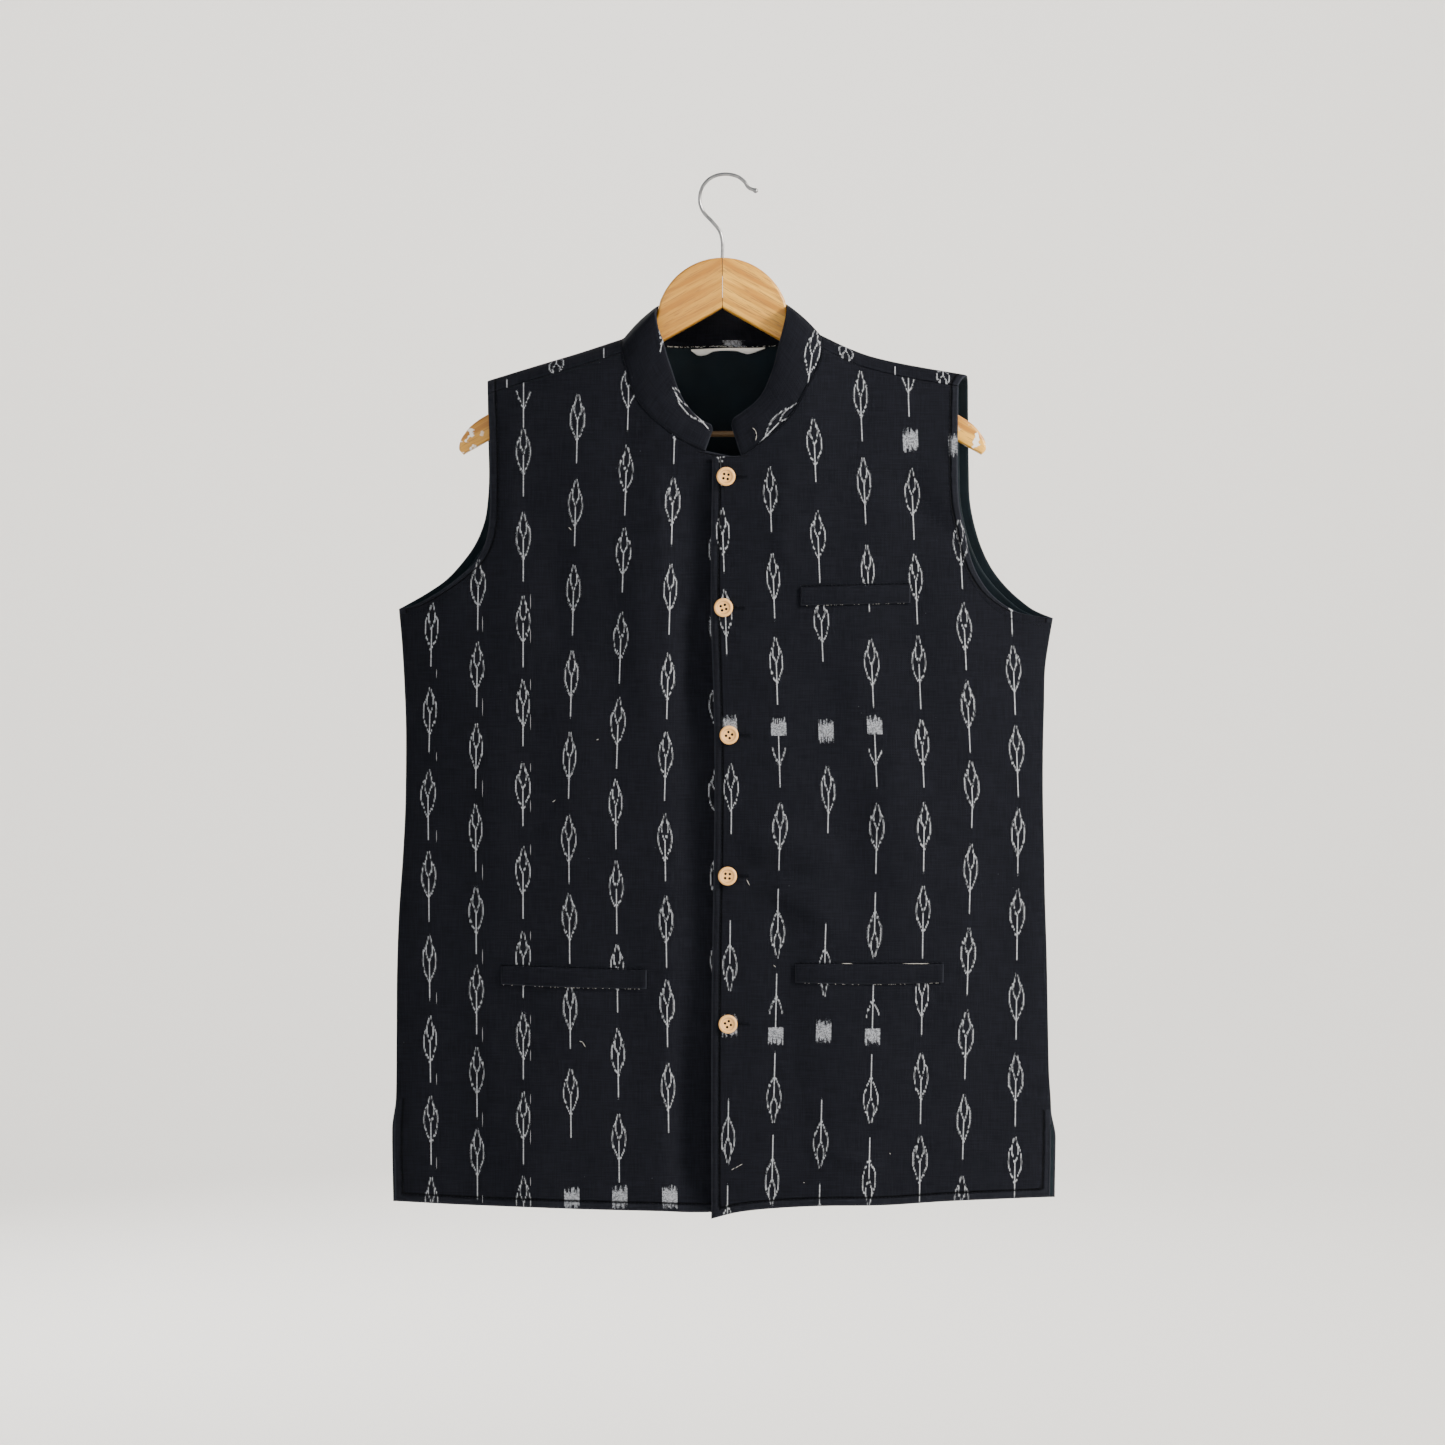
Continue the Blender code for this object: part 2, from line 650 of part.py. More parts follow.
def collar_grids():
    ring = collar_ring()
    count = len(ring)
    along = []
    for index in range(count):
        after = ring[min(index + 1, count - 1)][0]
        before = ring[max(index - 1, 0)][0]
        along.append((after - before).normalized())
    base = []
    for (point, out, top), direction in zip(ring, along):
        inward = out.cross(direction).normalized()
        if inward.dot(top - point) < 0:
            inward.negate()
        base.append(point + inward * (GAP + 0.05))
    outer = []
    for row in range(COLLAR_ROWS + 1):
        share = row / COLLAR_ROWS
        line = []
        for start, (point, out, top) in zip(base, ring):
            bulge = out * COLLAR_BULGE * math.sin(math.pi * share)
            line.append(start.lerp(top, share) + bulge)
        outer.append(line)
    inner = []
    for row in range(COLLAR_ROWS + 1):
        line = []
        for index in range(count):
            before = max(index - 1, 0)
            after = min(index + 1, count - 1)
            below = max(row - 1, 0)
            above = min(row + 1, COLLAR_ROWS)
            run = outer[row][after] - outer[row][before]
            rise = outer[above][index] - outer[below][index]
            out = rise.cross(run).normalized()
            if out.dot(ring[index][1]) < 0:
                out.negate()
            if row == 0:
                out = ring[index][1]
            line.append(outer[row][index] - out * COLLAR_WALL)
        inner.append(line)
    return outer, inner


def welt_grids(spec):
    outer = []
    inner = []
    for row in range(3):
        outer_row = []
        inner_row = []
        for step in range(WELT_COLUMNS + 1):
            share = step / WELT_COLUMNS
            x = lerp(spec["near"][0], spec["far"][0], share)
            z = lerp(spec["near"][1], spec["far"][1], share) - WELT_HEIGHT * row / 2
            inner_row.append(panel_point(spec["panel"], x, z, WELT_LIFT))
            outer_row.append(panel_point(spec["panel"], x, z, WELT_LIFT + WELT_WALL))
        outer.append(outer_row)
        inner.append(inner_row)
    return outer, inner


# Label: a band that hangs from the neck seam on the lining, lower at its two ends than between.
def label_grids():
    outer = []
    inner = []
    inset = CLOTH + LINING_LIFT + LINING_WALL + LABEL_LIFT
    for row in range(3):
        outer_row = []
        inner_row = []
        for step in range(11):
            share = step / 5 - 1
            x = LABEL_CENTRE_X + LABEL_HALF_WIDTH * share
            tall = lerp(LABEL_WAIST, LABEL_HEIGHT, math.sin(min(abs(share) * 1.25, 1) * math.pi / 2) ** 2)
            travel = neck_travel(side_of(x), x) + LABEL_NECK_DROP + tall * row / 2
            out = normal("back", x, travel)
            point = surface("back", x, travel) - out * inset
            outer_row.append(point)
            inner_row.append(point - out * LABEL_WALL)
        outer.append(outer_row)
        inner.append(inner_row)
    return outer, inner


# Object from another object's shape with its modifiers worked out.
def baked_mesh(source, name):
    graph = bpy.context.evaluated_depsgraph_get()
    graph.update()
    made = bpy.data.meshes.new_from_object(source.evaluated_get(graph))
    made.name = name
    return made


def hide_cutter(cutter):
    cutter.hide_render = True
    cutter.display_type = "WIRE"


def cylinder_mesh(name, places, radius, length, steps):
    mesh = bmesh.new()
    for place in places:
        bmesh.ops.create_cone(
            mesh, cap_ends=True, segments=steps, radius1=radius * MM, radius2=radius * MM,
            depth=length * MM, matrix=place,
        )
    data = bpy.data.meshes.new(name)
    mesh.to_mesh(data)
    mesh.free()
    return data


# One turned button with four holes, facing +Z, its back on z = 0.
def button_mesh(collection, cutters):
    data = bpy.data.meshes.new("button_profile")
    points = [(radius * MM, 0, height * MM) for radius, height in BUTTON_PROFILE]
    data.from_pydata(points, [(i, i + 1) for i in range(len(points) - 1)], [])
    blank = add_object("button_blank", data, None, collection)
    turned = blank.modifiers.new("Turned", "SCREW")
    turned.steps = BUTTON_STEPS
    turned.render_steps = BUTTON_STEPS
    turned.use_merge_vertices = True
    turned.merge_threshold = 0.00001
    holes = [
        Matrix.Translation((a * BUTTON_HOLE_OFFSET * MM, b * BUTTON_HOLE_OFFSET * MM, 0))
        for a in (-1, 1) for b in (-1, 1)
    ]
    cutter = add_object(
        "button_holes", cylinder_mesh("button_holes", holes, BUTTON_HOLE_RADIUS, 10, 6), None, cutters
    )
    hide_cutter(cutter)
    drilled = blank.modifiers.new("Holes", "BOOLEAN")
    drilled.operation = "DIFFERENCE"
    drilled.object = cutter
    made = baked_mesh(blank, "button")
    made.materials.clear()
    made.materials.append(material("button_wood"))
    made.shade_smooth()
    made.set_sharp_from_angle(angle=math.radians(40))
    bpy.data.objects.remove(blank)
    bpy.data.objects.remove(cutter)
    return made


def build_buttons(collection, cutters):
    shared = button_mesh(collection, cutters)
    for number, (x, z, turn) in enumerate(BUTTONS, start=1):
        near = [
            panel_point("front_left", x + a * BUTTON_RADIUS, z + b * BUTTON_RADIUS).y
            for a in (-1, 0, 1) for b in (-1, 0, 1)
        ]
        place = real(Vector((x, min(near) - GAP, z)))
        button = bpy.data.objects.new(f"button_{number}", shared)
        button.location = place
        button.rotation_euler = (math.pi / 2, math.radians(turn), 0)
        collection.objects.link(button)


def arm_line(line, x):
    return line["z"] + line["slope"] * (x - line["x"])


# Outline of one half of the hanger, as distance from the middle and height.
def hanger_outline():
    near = GAP / 2
    points = [(near, arm_line(ARM_BOTTOM, near))]
    points += [(110.0, arm_line(ARM_BOTTOM, 110.0))]
    points += ARM_TIP
    points += [(x, arm_line(ARM_TOP, x)) for x in (195.0, 150.0, 78.0)]
    points += HUMP_FOOT
    for step in range(9):
        angle = math.radians(lerp(HUMP_SIDE_ANGLE, 90, step / 8))
        x = max(HUMP_RADIUS * math.cos(angle), near)
        points.append((x, HUMP_CENTRE_Z + HUMP_RADIUS * math.sin(angle)))
    return points


def build_arm(side, collection, cutters):
    sign = -1 if side == "left" else 1
    mesh = bmesh.new()
    half = HANGER_THICK / 2
    verts = [mesh.verts.new((sign * x * MM, half * MM, z * MM)) for x, z in hanger_outline()]
    face = mesh.faces.new(verts)
    grown = bmesh.ops.extrude_face_region(mesh, geom=[face])
    moved = [item for item in grown["geom"] if isinstance(item, bmesh.types.BMVert)]
    bmesh.ops.translate(mesh, verts=moved, vec=(0, -HANGER_THICK * MM, 0))
    bmesh.ops.recalc_face_normals(mesh, faces=mesh.faces)
    middle = GAP * MM
    rims = [
        edge for edge in mesh.edges
        if abs(edge.verts[0].co.y - edge.verts[1].co.y) < 1e-6
        and max(abs(vert.co.x) for vert in edge.verts) > middle
    ]
    bmesh.ops.bevel(
        mesh, geom=rims, offset=HANGER_EDGE * MM, offset_type="OFFSET", segments=3, profile=0.5,
        affect="EDGES", clamp_overlap=True,
    )
    data = bpy.data.meshes.new(f"hanger_arm_{side}")
    mesh.to_mesh(data)
    mesh.free()
    data.shade_smooth()
    data.set_sharp_from_angle(angle=math.radians(40))
    arm = add_object(f"hanger_arm_{side}", data, "hanger_wood", collection)
    turned = Matrix.Translation((0, 0, BAR_Z * MM)) @ Matrix.Rotation(math.pi / 2, 4, "Y")
    shank_top = HUMP_CENTRE_Z + HUMP_RADIUS + 5
    depth = shank_top - SHANK_END_Z + GAP
    sunk = Matrix.Translation((HOOK[0][0] * MM, 0, (shank_top - depth / 2) * MM))
    bores = {
        "bar_socket": cylinder_mesh("bar_socket", [turned], BAR_RADIUS + GAP, 2 * (BAR_END + GAP), 16),
        "hook_hole": cylinder_mesh("hook_hole", [sunk], HOOK_RADIUS + GAP, depth, 16),
    }
    for name, bore in bores.items():
        cutter = add_object(f"{name}_{side}", bore, None, cutters)
        hide_cutter(cutter)
        cut = arm.modifiers.new(name, "BOOLEAN")
        cut.operation = "DIFFERENCE"
        cut.object = cutter


def tube(name, points, radius, slot, collection, tip_scale=1.0):
    curve = bpy.data.curves.new(name, "CURVE")
    curve.dimensions = "3D"
    curve.bevel_depth = radius * MM
    curve.bevel_resolution = 2
    curve.use_fill_caps = True
    spline = curve.splines.new("POLY")
    spline.points.add(len(points) - 1)
    for index, (x, z) in enumerate(points):
        spline.points[index].co = (x * MM, 0, z * MM, 1)
        spline.points[index].radius = 1.0
    if tip_scale > 1:
        for back, scale in ((0, 0.55), (1, 0.95), (2, 1.0), (3, 0.88)):
            spline.points[len(points) - 1 - back].radius = scale * tip_scale
    return add_object(name, curve, slot, collection)


def build_hook(collection):
    middle = route(HOOK)
    points = [middle(step / HOOK_POINTS) for step in range(HOOK_POINTS + 1)]
    end = Vector((*points[-1], 0))
    back = (end - Vector((*points[-2], 0))).normalized()
    tip = [tuple((end + back * run)[:2]) for run in (1.4, 2.6, 3.6)]
    tube("hanger_hook", points + tip, HOOK_RADIUS, "hook_steel", collection, HOOK_TIP_SCALE)


def build_bar(collection):
    ends = [(-BAR_END, BAR_Z), (0, BAR_Z), (BAR_END, BAR_Z)]
    tube("hanger_bar", ends, BAR_RADIUS, "hanger_wood", collection)


def main():
    for old in list(bpy.data.objects):
        bpy.data.objects.remove(old)
    jacket = bpy.data.collections.new("nehru_jacket")
    cutters = bpy.data.collections.new("cutters")
    bpy.context.scene.collection.children.link(jacket)
    bpy.context.scene.collection.children.link(cutters)
    wall("front_right", *front_grids("front_right", "left"), "black_cotton", jacket)
    wall("front_left", *front_grids("front_left", "right"), "black_cotton", jacket)
    wall("back", *back_grids(0.0, CLOTH), "black_cotton", jacket)
    wall("lining_back", *lining_grids(), "dark_lining", jacket)
    wall("collar", *collar_grids(), "black_cotton", jacket)
    wall("neck_label", *label_grids(), "label_cotton", jacket)
    for name, spec in WELTS.items():
        wall(name, *welt_grids(spec), "black_cotton", jacket)
    build_buttons(jacket, cutters)
    for side in ("left", "right"):
        build_arm(side, jacket, cutters)
    build_bar(jacket)
    build_hook(jacket)


main()
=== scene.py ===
# Sleeveless nehru jacket in black ikat cotton on a wooden hanger: cloth, stitching, finishes, light.
# The sizes are millimetres in the plane of the hanger; real() turns them into places in metres.
import math

import bmesh
import bpy
import numpy as np
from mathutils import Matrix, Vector


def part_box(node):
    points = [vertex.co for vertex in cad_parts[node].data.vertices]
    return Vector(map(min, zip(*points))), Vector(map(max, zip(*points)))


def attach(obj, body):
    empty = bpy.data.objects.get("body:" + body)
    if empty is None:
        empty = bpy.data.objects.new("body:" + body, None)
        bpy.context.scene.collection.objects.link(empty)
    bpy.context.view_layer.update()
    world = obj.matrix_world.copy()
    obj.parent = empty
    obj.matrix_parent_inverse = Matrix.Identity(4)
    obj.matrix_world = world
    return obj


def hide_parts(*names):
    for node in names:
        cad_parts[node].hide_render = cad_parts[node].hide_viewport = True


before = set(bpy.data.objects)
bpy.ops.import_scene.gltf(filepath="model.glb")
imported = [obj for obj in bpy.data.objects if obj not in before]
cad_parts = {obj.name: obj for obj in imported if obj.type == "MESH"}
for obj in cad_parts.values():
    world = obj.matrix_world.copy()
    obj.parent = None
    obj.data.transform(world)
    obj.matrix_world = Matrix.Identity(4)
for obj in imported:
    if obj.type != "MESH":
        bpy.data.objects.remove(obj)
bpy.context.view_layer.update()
mm = 0.001
cameraDistance = 3000.0  # from the hanger's plane
cameraHeight = -459.0
pixel = 0.84  # one pixel of the photo, in the hanger's plane
pixelZero = (722.0, 176.0)  # the pixel where x and z are 0


def photoX(px):
    return (np.asarray(px, float) - pixelZero[0]) * pixel


def photoZ(py):
    return (pixelZero[1] - np.asarray(py, float)) * pixel


# cubic curve through (key, value) rows with rising keys, held level past its ends
def curveThrough(rows):
    keys, values = np.array(rows, float).T
    slopes = np.gradient(values, keys)
    slopes[1:-1] = (values[2:] - values[:-2]) / (keys[2:] - keys[:-2])

    def at(key):
        key = np.clip(key, keys[0], keys[-1])
        i = np.clip(np.searchsorted(keys, key, side="right") - 1, 0, len(keys) - 2)
        step = keys[i + 1] - keys[i]
        s = (key - keys[i]) / step
        start = values[i] * (1 + 2 * s) + slopes[i] * step * s
        end = values[i + 1] * (3 - 2 * s) - slopes[i + 1] * step * (1 - s)
        return start * (1 - s) ** 2 + end * s ** 2

    return at


# vectors over their own lengths
def toUnit(vectors):
    return vectors / np.linalg.norm(vectors, axis=-1, keepdims=True)


# distance gone at each point of a line: the sum of its steps' lengths
def runAlong(points):
    return np.concatenate([[0], np.cumsum(np.linalg.norm(np.diff(points, axis=0), axis=1))])


# smooth route through points, as a function of the share of its length
def route(points):
    points = np.array(points, float)
    run = runAlong(points)
    parts = [curveThrough(np.stack([run, column], 1)) for column in points.T]
    return lambda share: np.stack([part(np.asarray(share) * run[-1]) for part in parts], axis=-1)


def ease(low, high, value):
    share = np.clip((value - low) / (high - low), 0, 1)
    return share * share * (3 - 2 * share)


def lerp(a, b, share):
    return a + (b - a) * share


# The jacket's form. It is the same quarter roll over the shoulder and lens shaped section as the
# frame's, with finer rows.
form = {
    "gap": 0.3, "cloth": 2.0, "collar": 3.0, "lining": 1.0,
    "roll": 80.0, "frontReach": 130.0, "backReach": 95.0, "lensPower": 2.2, "lensEdge": 0.75,
    "neckTop": -112.0, "seamDrop": 10.5, "neckBackZ": -142.0, "neckSquareness": 0.8,
    "liningLift": 0.9, "labelLift": 0.9,
    "frontDepth": [(-870, 43), (-700, 41), (-500, 45), (-300, 50), (-140, 47)],
    "backDepth": [(-870, 34), (-700, 33), (-500, 37), (-300, 42), (-140, 42)],
    "ridgeLeft": [(84.8, -137.0), (120, -148.5), (160, -160.5), (197.4, -172.0), (206, -174.5)],
    "ridgeRight": [
        (84.3, -134.4), (103.7, -143.6), (124, -151.2), (154.6, -158.3), (206, -167.2),
    ],
    "sideLeft": [
        (-861, 275.5), (-800, 276.4), (-774.5, 274.7), (-726.6, 274.2), (-668.6, 273.8),
        (-620, 272.2), (-573, 269), (-534.7, 267), (-496, 266.3), (-457.6, 266.4),
        (-419, 268), (-389.8, 269.8), (-363.7, 272.2),
    ],
    "sideRight": [
        (-857.6, 275.5), (-783, 276.4), (-754, 274.7), (-713, 273.8), (-652.7, 272.7),
        (-607, 271.3), (-567, 270.5), (-525.8, 269.6), (-485.5, 269.6), (-444, 270.5),
        (-414, 271.3), (-389.8, 274.7), (-371.3, 278),
    ],
    "armFrontLeft": [
        (197.4, -182.5), (196, -220), (195.7, -282.2), (198.6, -304.9), (206.6, -322.6),
        (216.7, -332.6), (232.7, -345.2), (249, -355.3), (262, -361.6), (272.2, -363.7),
    ],
    "armFrontRight": [
        (198.2, -177.2), (197.9, -205), (197.7, -245.3), (199, -276), (203.3, -296.5),
        (208.3, -319.2), (215.6, -336.8), (227.6, -352.8), (246, -365.4), (262.5, -369.3),
        (278, -371.3),
    ],
    "armBackLeft": [
        (196.9, -216.7), (196.2, -250.3), (197.4, -272.2), (200, -289), (207.5, -308.8),
        (218, -323.9), (232, -339), (248, -350.1), (262, -358.2), (272.2, -363.7),
    ],
    "armBackRight": [
        (206.5, -205), (207, -245.3), (208.3, -276), (215.6, -306.6), (225.8, -328.9),
        (240, -346.9), (258.4, -362.5), (268, -367.5), (278, -371.3),
    ],
    "shoulderLeft": (197.4, 197.6), "shoulderRight": (198.2, 205.0),
    "neckLeft": [
        (-84.8, -147.5), (-82.3, -157), (-78.4, -173), (-70.6, -189), (-58.8, -202.9),
        (-49.6, -210.4), (-38.6, -218.7), (-21.8, -227.4), (-14.3, -230.7),
    ],
    "neckRight": [
        (84.3, -144.9), (82.4, -152.5), (77.9, -164.3), (70.4, -177.2), (59.6, -197.4),
        (48.7, -210.5), (38.2, -219), (22.2, -230.7), (15.1, -235),
    ],
    "overlapEdge": [
        (-876, -9.5), (-700, -9.2), (-515, -6.7), (-440, -7.6), (-356, -10), (-236, -8.6),
    ],
    "underlapEdge": 18.0, "overlapTop": -236.0, "underlapTop": -237.5,
    "overlapLift": 2.4, "underlapSink": 1.4, "overlapFlat": 22.0, "overlapFade": 120.0,
    "hemRight": [
        (-275.5, -861), (-229, -863.5), (-171, -866), (-114, -868), (-56, -869.4), (-9.5, -870), (18, -866.5),
    ],
    "hemLeft": [
        (-9.5, -876), (11.8, -870.6), (42.8, -867.2), (83.2, -865.2), (134.4, -864.6),
        (184.8, -861.4), (236, -859.1), (275.5, -857.6),
    ],
    "hemBack": [(-275.5, -861), (-140, -862), (0, -862), (140, -860), (275.5, -857.6)],
    "ventLeft": -774.5, "ventRight": -783.0, "ventSlit": 1.6, "ventFade": 25,
    "peekLeft": 1.5, "peekRight": 4.0,
    "armShareAtNeck": 0.36, "seamAtX": 150.0,
}
curves = {
    name: curveThrough(form[name])
    for name in ("frontDepth", "backDepth", "ridgeLeft", "ridgeRight", "sideLeft", "sideRight",
                 "overlapEdge", "hemRight", "hemLeft", "hemBack")
}
hemOf = {"frontRight": curves["hemRight"], "frontLeft": curves["hemLeft"], "back": curves["hemBack"]}

# Folds and creases: from (x0, z0) to (x1, z1), how wide, how far out (or in), and the fade at
# the ends. The first rows of each panel are the frame's own folds.
creases = {
    "frontRight": [
        (-25, -330, -31, -900, 15, -6.5, 90), (-66, -215, -64, -480, 20, 2.6, 90),
        (-180, -300, -110, -430, 26, -2.4, 90), (-232, -470, -225, -900, 28, -3.0, 90),
        (-140, -640, -150, -900, 30, 2.6, 90),
        (-44, -560, -49, -890, 6, 1.4, 60), (-186, -246, -150, -300, 9, -1.2, 30),
        (-258, -384, -196, -420, 8, -1.4, 30), (-262, -560, -200, -590, 10, -0.9, 40),
        (-90, -480, -120, -640, 12, -1.0, 50), (-200, -690, -186, -850, 10, 1.0, 50),
        (-70, -150, -130, -210, 10, -1.0, 30),
        (-23, -225, -24, -480, 14, -4.4, 60), (-58, -225, -38, -450, 9, 2.2, 60),
        (-27, -690, -24, -900, 23, -5.0, 80), (-178, -165, -180, -330, 12, 2.1, 50),
        (-262, -555, -262, -660, 12, 2.0, 40), (-140, -270, -136, -420, 13, -2.0, 60),
        (-34, -560, -36, -700, 9, 2.4, 50), (-14, -330, -13, -880, 7, -2.8, 60),
    ],
    "frontLeft": [
        (48, -330, 170, -235, 20, -2.4, 90), (46, -592, 130, -520, 20, -2.6, 90),
        (95, -560, 115, -900, 30, 2.6, 90), (228, -430, 236, -800, 24, -3.0, 90),
        (244, -762, 276, -775, 8, -1.6, 90),
        (30, -604, 92, -668, 11, -1.5, 40), (34, -560, 110, -486, 8, 1.0, 40),
        (262, -384, 190, -424, 8, -1.5, 30), (246, -763, 277, -773, 4.0, -4.5, 12),
        (250, -771, 277, -781, 4.0, 3.3, 12), (150, -250, 196, -224, 9, -1.2, 25),
        (60, -700, 74, -860, 10, -1.2, 50), (180, -560, 210, -640, 12, 0.9, 50),
        (100, -160, 130, -215, 10, -1.0, 30),
        (135, -240, 202, -318, 14, -4.5, 30), (8, -560, 112, -572, 15, 4.6, 30),
        (30, -590, 104, -630, 11, 3.3, 24), (76, -813, 138, -840, 9, 2.7, 20),
        (128, -798, 274, -832, 7, 2.1, 30), (150, -470, 128, -575, 14, 2.2, 40),
        (52, -212, 50, -350, 12, 2.7, 40), (96, -400, 90, -470, 12, -1.5, 30),
        (214, -700, 240, -860, 22, -2.4, 60), (12, -400, 60, -440, 12, 1.4, 25),
    ],
    "back": [
        (-70, -240, -96, -900, 26, 3.2, 90), (12, -330, 4, -900, 30, -4.2, 90),
        (104, -300, 128, -900, 26, 3.0, 90), (-205, -420, -214, -820, 24, -2.6, 90),
        (196, -480, 220, -900, 24, -2.4, 90),
        (-258, -392, -150, -440, 10, -1.5, 40), (262, -394, 170, -452, 11, -1.7, 40),
        (-60, -170, -130, -250, 12, -1.4, 40), (64, -168, 120, -240, 10, -1.2, 40),
        (-40, -560, -52, -860, 9, -1.2, 60), (60, -600, 74, -868, 10, 1.2, 60),
        (-160, -610, -150, -860, 12, 1.0, 60), (160, -640, 176, -866, 11, -1.0, 60),
    ],
}


seamPart = form["gap"] * 0.7  # each panel's part of the gap at the shoulder seam
farOff = 99  # stands for no finished edge near


# sum over a panel's creases of height * bell across the line * an ease at both its ends
def creaseHeight(panel, x, z):
    total = np.zeros_like(x)
    for x0, z0, x1, z1, wide, height, fade in creases[panel]:
        length = math.hypot(x1 - x0, z1 - z0)
        dx, dz = (x1 - x0) / length, (z1 - z0) / length
        along = (x - x0) * dx + (z - z0) * dz
        across = (x - x0) * dz - (z - z0) * dx
        total += height * ease(0, fade, along) * ease(0, fade, length - along) * np.exp(-(across / wide) ** 2)
    return total


# long shallow waves of cloth that was folded and hung: a seeded sum of sines, 55 to 160 mm long, that
# dies away towards the buttons
waveForm = {"count": 9, "height": 0.42, "shortest": 55.0, "longest": 160.0, "flat": 24.0, "full": 80.0}


def clothWaves(panel, x, z):
    chance = np.random.default_rng({"frontRight": 11, "frontLeft": 12, "back": 13}[panel])
    total = np.zeros_like(x)
    for _ in range(waveForm["count"]):
        turns = math.tau / chance.uniform(waveForm["shortest"], waveForm["longest"])
        angle = chance.normal(0, 0.5)
        phase = chance.uniform(0, math.tau)
        total += np.sin((x * math.cos(angle) + z * 0.45 * math.sin(angle)) * turns + phase)
    flat = 1.0 if panel == "back" else ease(waveForm["flat"], waveForm["full"], np.abs(x))
    return waveForm["height"] * total * flat


# shoulder ridge's height over x: the measured slope outside the neck, a parabola inside it
def ridge(x):
    out = np.abs(x)
    heights = []
    for name in ("ridgeLeft", "ridgeRight"):
        reach, neck = form[name][0]
        inside = neck + (form["neckTop"] - neck) * (1 - (out / reach) ** 2)
        heights.append(np.where(out < reach, inside, curves[name](out)))
    return np.where(x < 0, heights[0], heights[1])


# outer surface at x and travel (0 on the ridge, below 0 down the front): z falls as 1 - cos of
# the travel over the roll, and y is depth * (1 - (|x| / half width) ^ power) ^ edge * sin of it
def surface(panel, x, travel):
    x, travel = np.broadcast_arrays(np.asarray(x, float), np.asarray(travel, float))
    isFront = travel < 0
    turn = np.minimum(np.abs(travel) / form["roll"], math.pi / 2)
    past = np.maximum(np.abs(travel) - form["roll"] * math.pi / 2, 0)
    z = ridge(x) - np.where(isFront, form["frontReach"], form["backReach"]) * (1 - np.cos(turn)) - past
    half = np.where(x < 0, curves["sideLeft"](z), curves["sideRight"](z))
    lens = (1 - np.clip(np.abs(x) / half, 0, 1) ** form["lensPower"]) ** form["lensEdge"]
    depth = np.where(isFront, curves["frontDepth"](z), curves["backDepth"](z))
    relief = creaseHeight(panel, x, z) + clothWaves(panel, x, z)
    out = (depth * lens + relief * np.sqrt(lens)) * np.sin(turn)
    return np.stack([x, np.where(isFront, -out, out), z], axis=-1)


def travelAt(face, x, z):
    drop = ridge(x) - z
    reach = form[face + "Reach"]
    rolled = form["roll"] * np.arccos(np.clip(1 - drop / reach, -1, 1))
    length = np.where(drop < reach, rolled, form["roll"] * math.pi / 2 + drop - reach)
    return -length if face == "front" else length


# outward unit normal: the cross product of the steps across and down
def surfaceNormal(panel, x, travel):
    across = surface(panel, x + 1, travel) - surface(panel, x - 1, travel)
    down = surface(panel, x, travel + 1) - surface(panel, x, travel - 1)
    return toUnit(np.cross(across, down))


# a point measured in the hanger's plane, moved out along the camera's ray to its own depth
def real(points):
    scale = 1 + points[..., 1:2] / cameraDistance
    moved = points * scale
    moved[..., 1] = points[..., 1]
    moved[..., 2] = cameraHeight + (points[..., 2] - cameraHeight) * scale[..., 0]
    return moved * mm


def lift(panel, x):
    if panel == "frontLeft":
        return form["overlapLift"] * (1 - ease(form["overlapFlat"], form["overlapFade"], x))
    return -form["underlapSink"] * ease(form["underlapEdge"] - 38, form["underlapEdge"] - 22, x)


# a point on a front, out from its cloth
def onFront(panel, x, z, out=0.0):
    x, z = np.broadcast_arrays(np.asarray(x, float), np.asarray(z, float))
    travel = travelAt("front", x, z)
    away = np.asarray(lift(panel, x) + out)[..., None]
    return surface(panel, x, travel) + surfaceNormal(panel, x, travel) * away


# Meshes from grids of points
def newPiece(name, points, faces, material, replaced=(), slot=None, smooth=True):
    mesh = bpy.data.meshes.new(name)
    mesh.from_pydata(points.reshape(-1, 3), [], faces)
    mesh.polygons.foreach_set("use_smooth", np.full(len(mesh.polygons), smooth))
    mesh.update()
    piece = bpy.data.objects.new(name, mesh)
    bpy.context.scene.collection.objects.link(piece)
    mesh.materials.append(material)
    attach(piece, "root")
    if replaced:
        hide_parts(*replaced)
    return piece


# faces of a closed wall between an outer and an inner grid, joined round the rim
def wallFaces(rows, columns):
    index = np.arange(rows * columns).reshape(rows, columns)
    outer = np.stack([index[:-1, :-1], index[:-1, 1:], index[1:, 1:], index[1:, :-1]], -1)
    outer = outer.reshape(-1, 4)
    inner = outer[:, ::-1] + rows * columns
    rim = np.concatenate([index[0, :-1], index[:-1, -1], index[-1, :0:-1], index[:0:-1, 0]])
    after = np.roll(rim, -1)
    sides = np.stack([after, rim, rim + rows * columns, after + rows * columns], -1)
    return np.concatenate([outer, inner, sides])


# quads round a tube of rings, from each ring's points to the next ring's
def tubeFaces(rings, sides):
    index = np.arange(rings * sides).reshape(rings, sides)
    after = np.roll(index, -1, axis=1)
    return index, np.stack([index[:-1], index[1:], after[1:], after[:-1]], -1).reshape(-1, 4)


# signed volume times six, to tell which way the faces point: a triple product for each triangle
def volumeOf(points, faces):
    a, b, c, d = (points[faces[:, k]] for k in range(4))
    return (a * np.cross(b, c)).sum() + (a * np.cross(c, d)).sum()


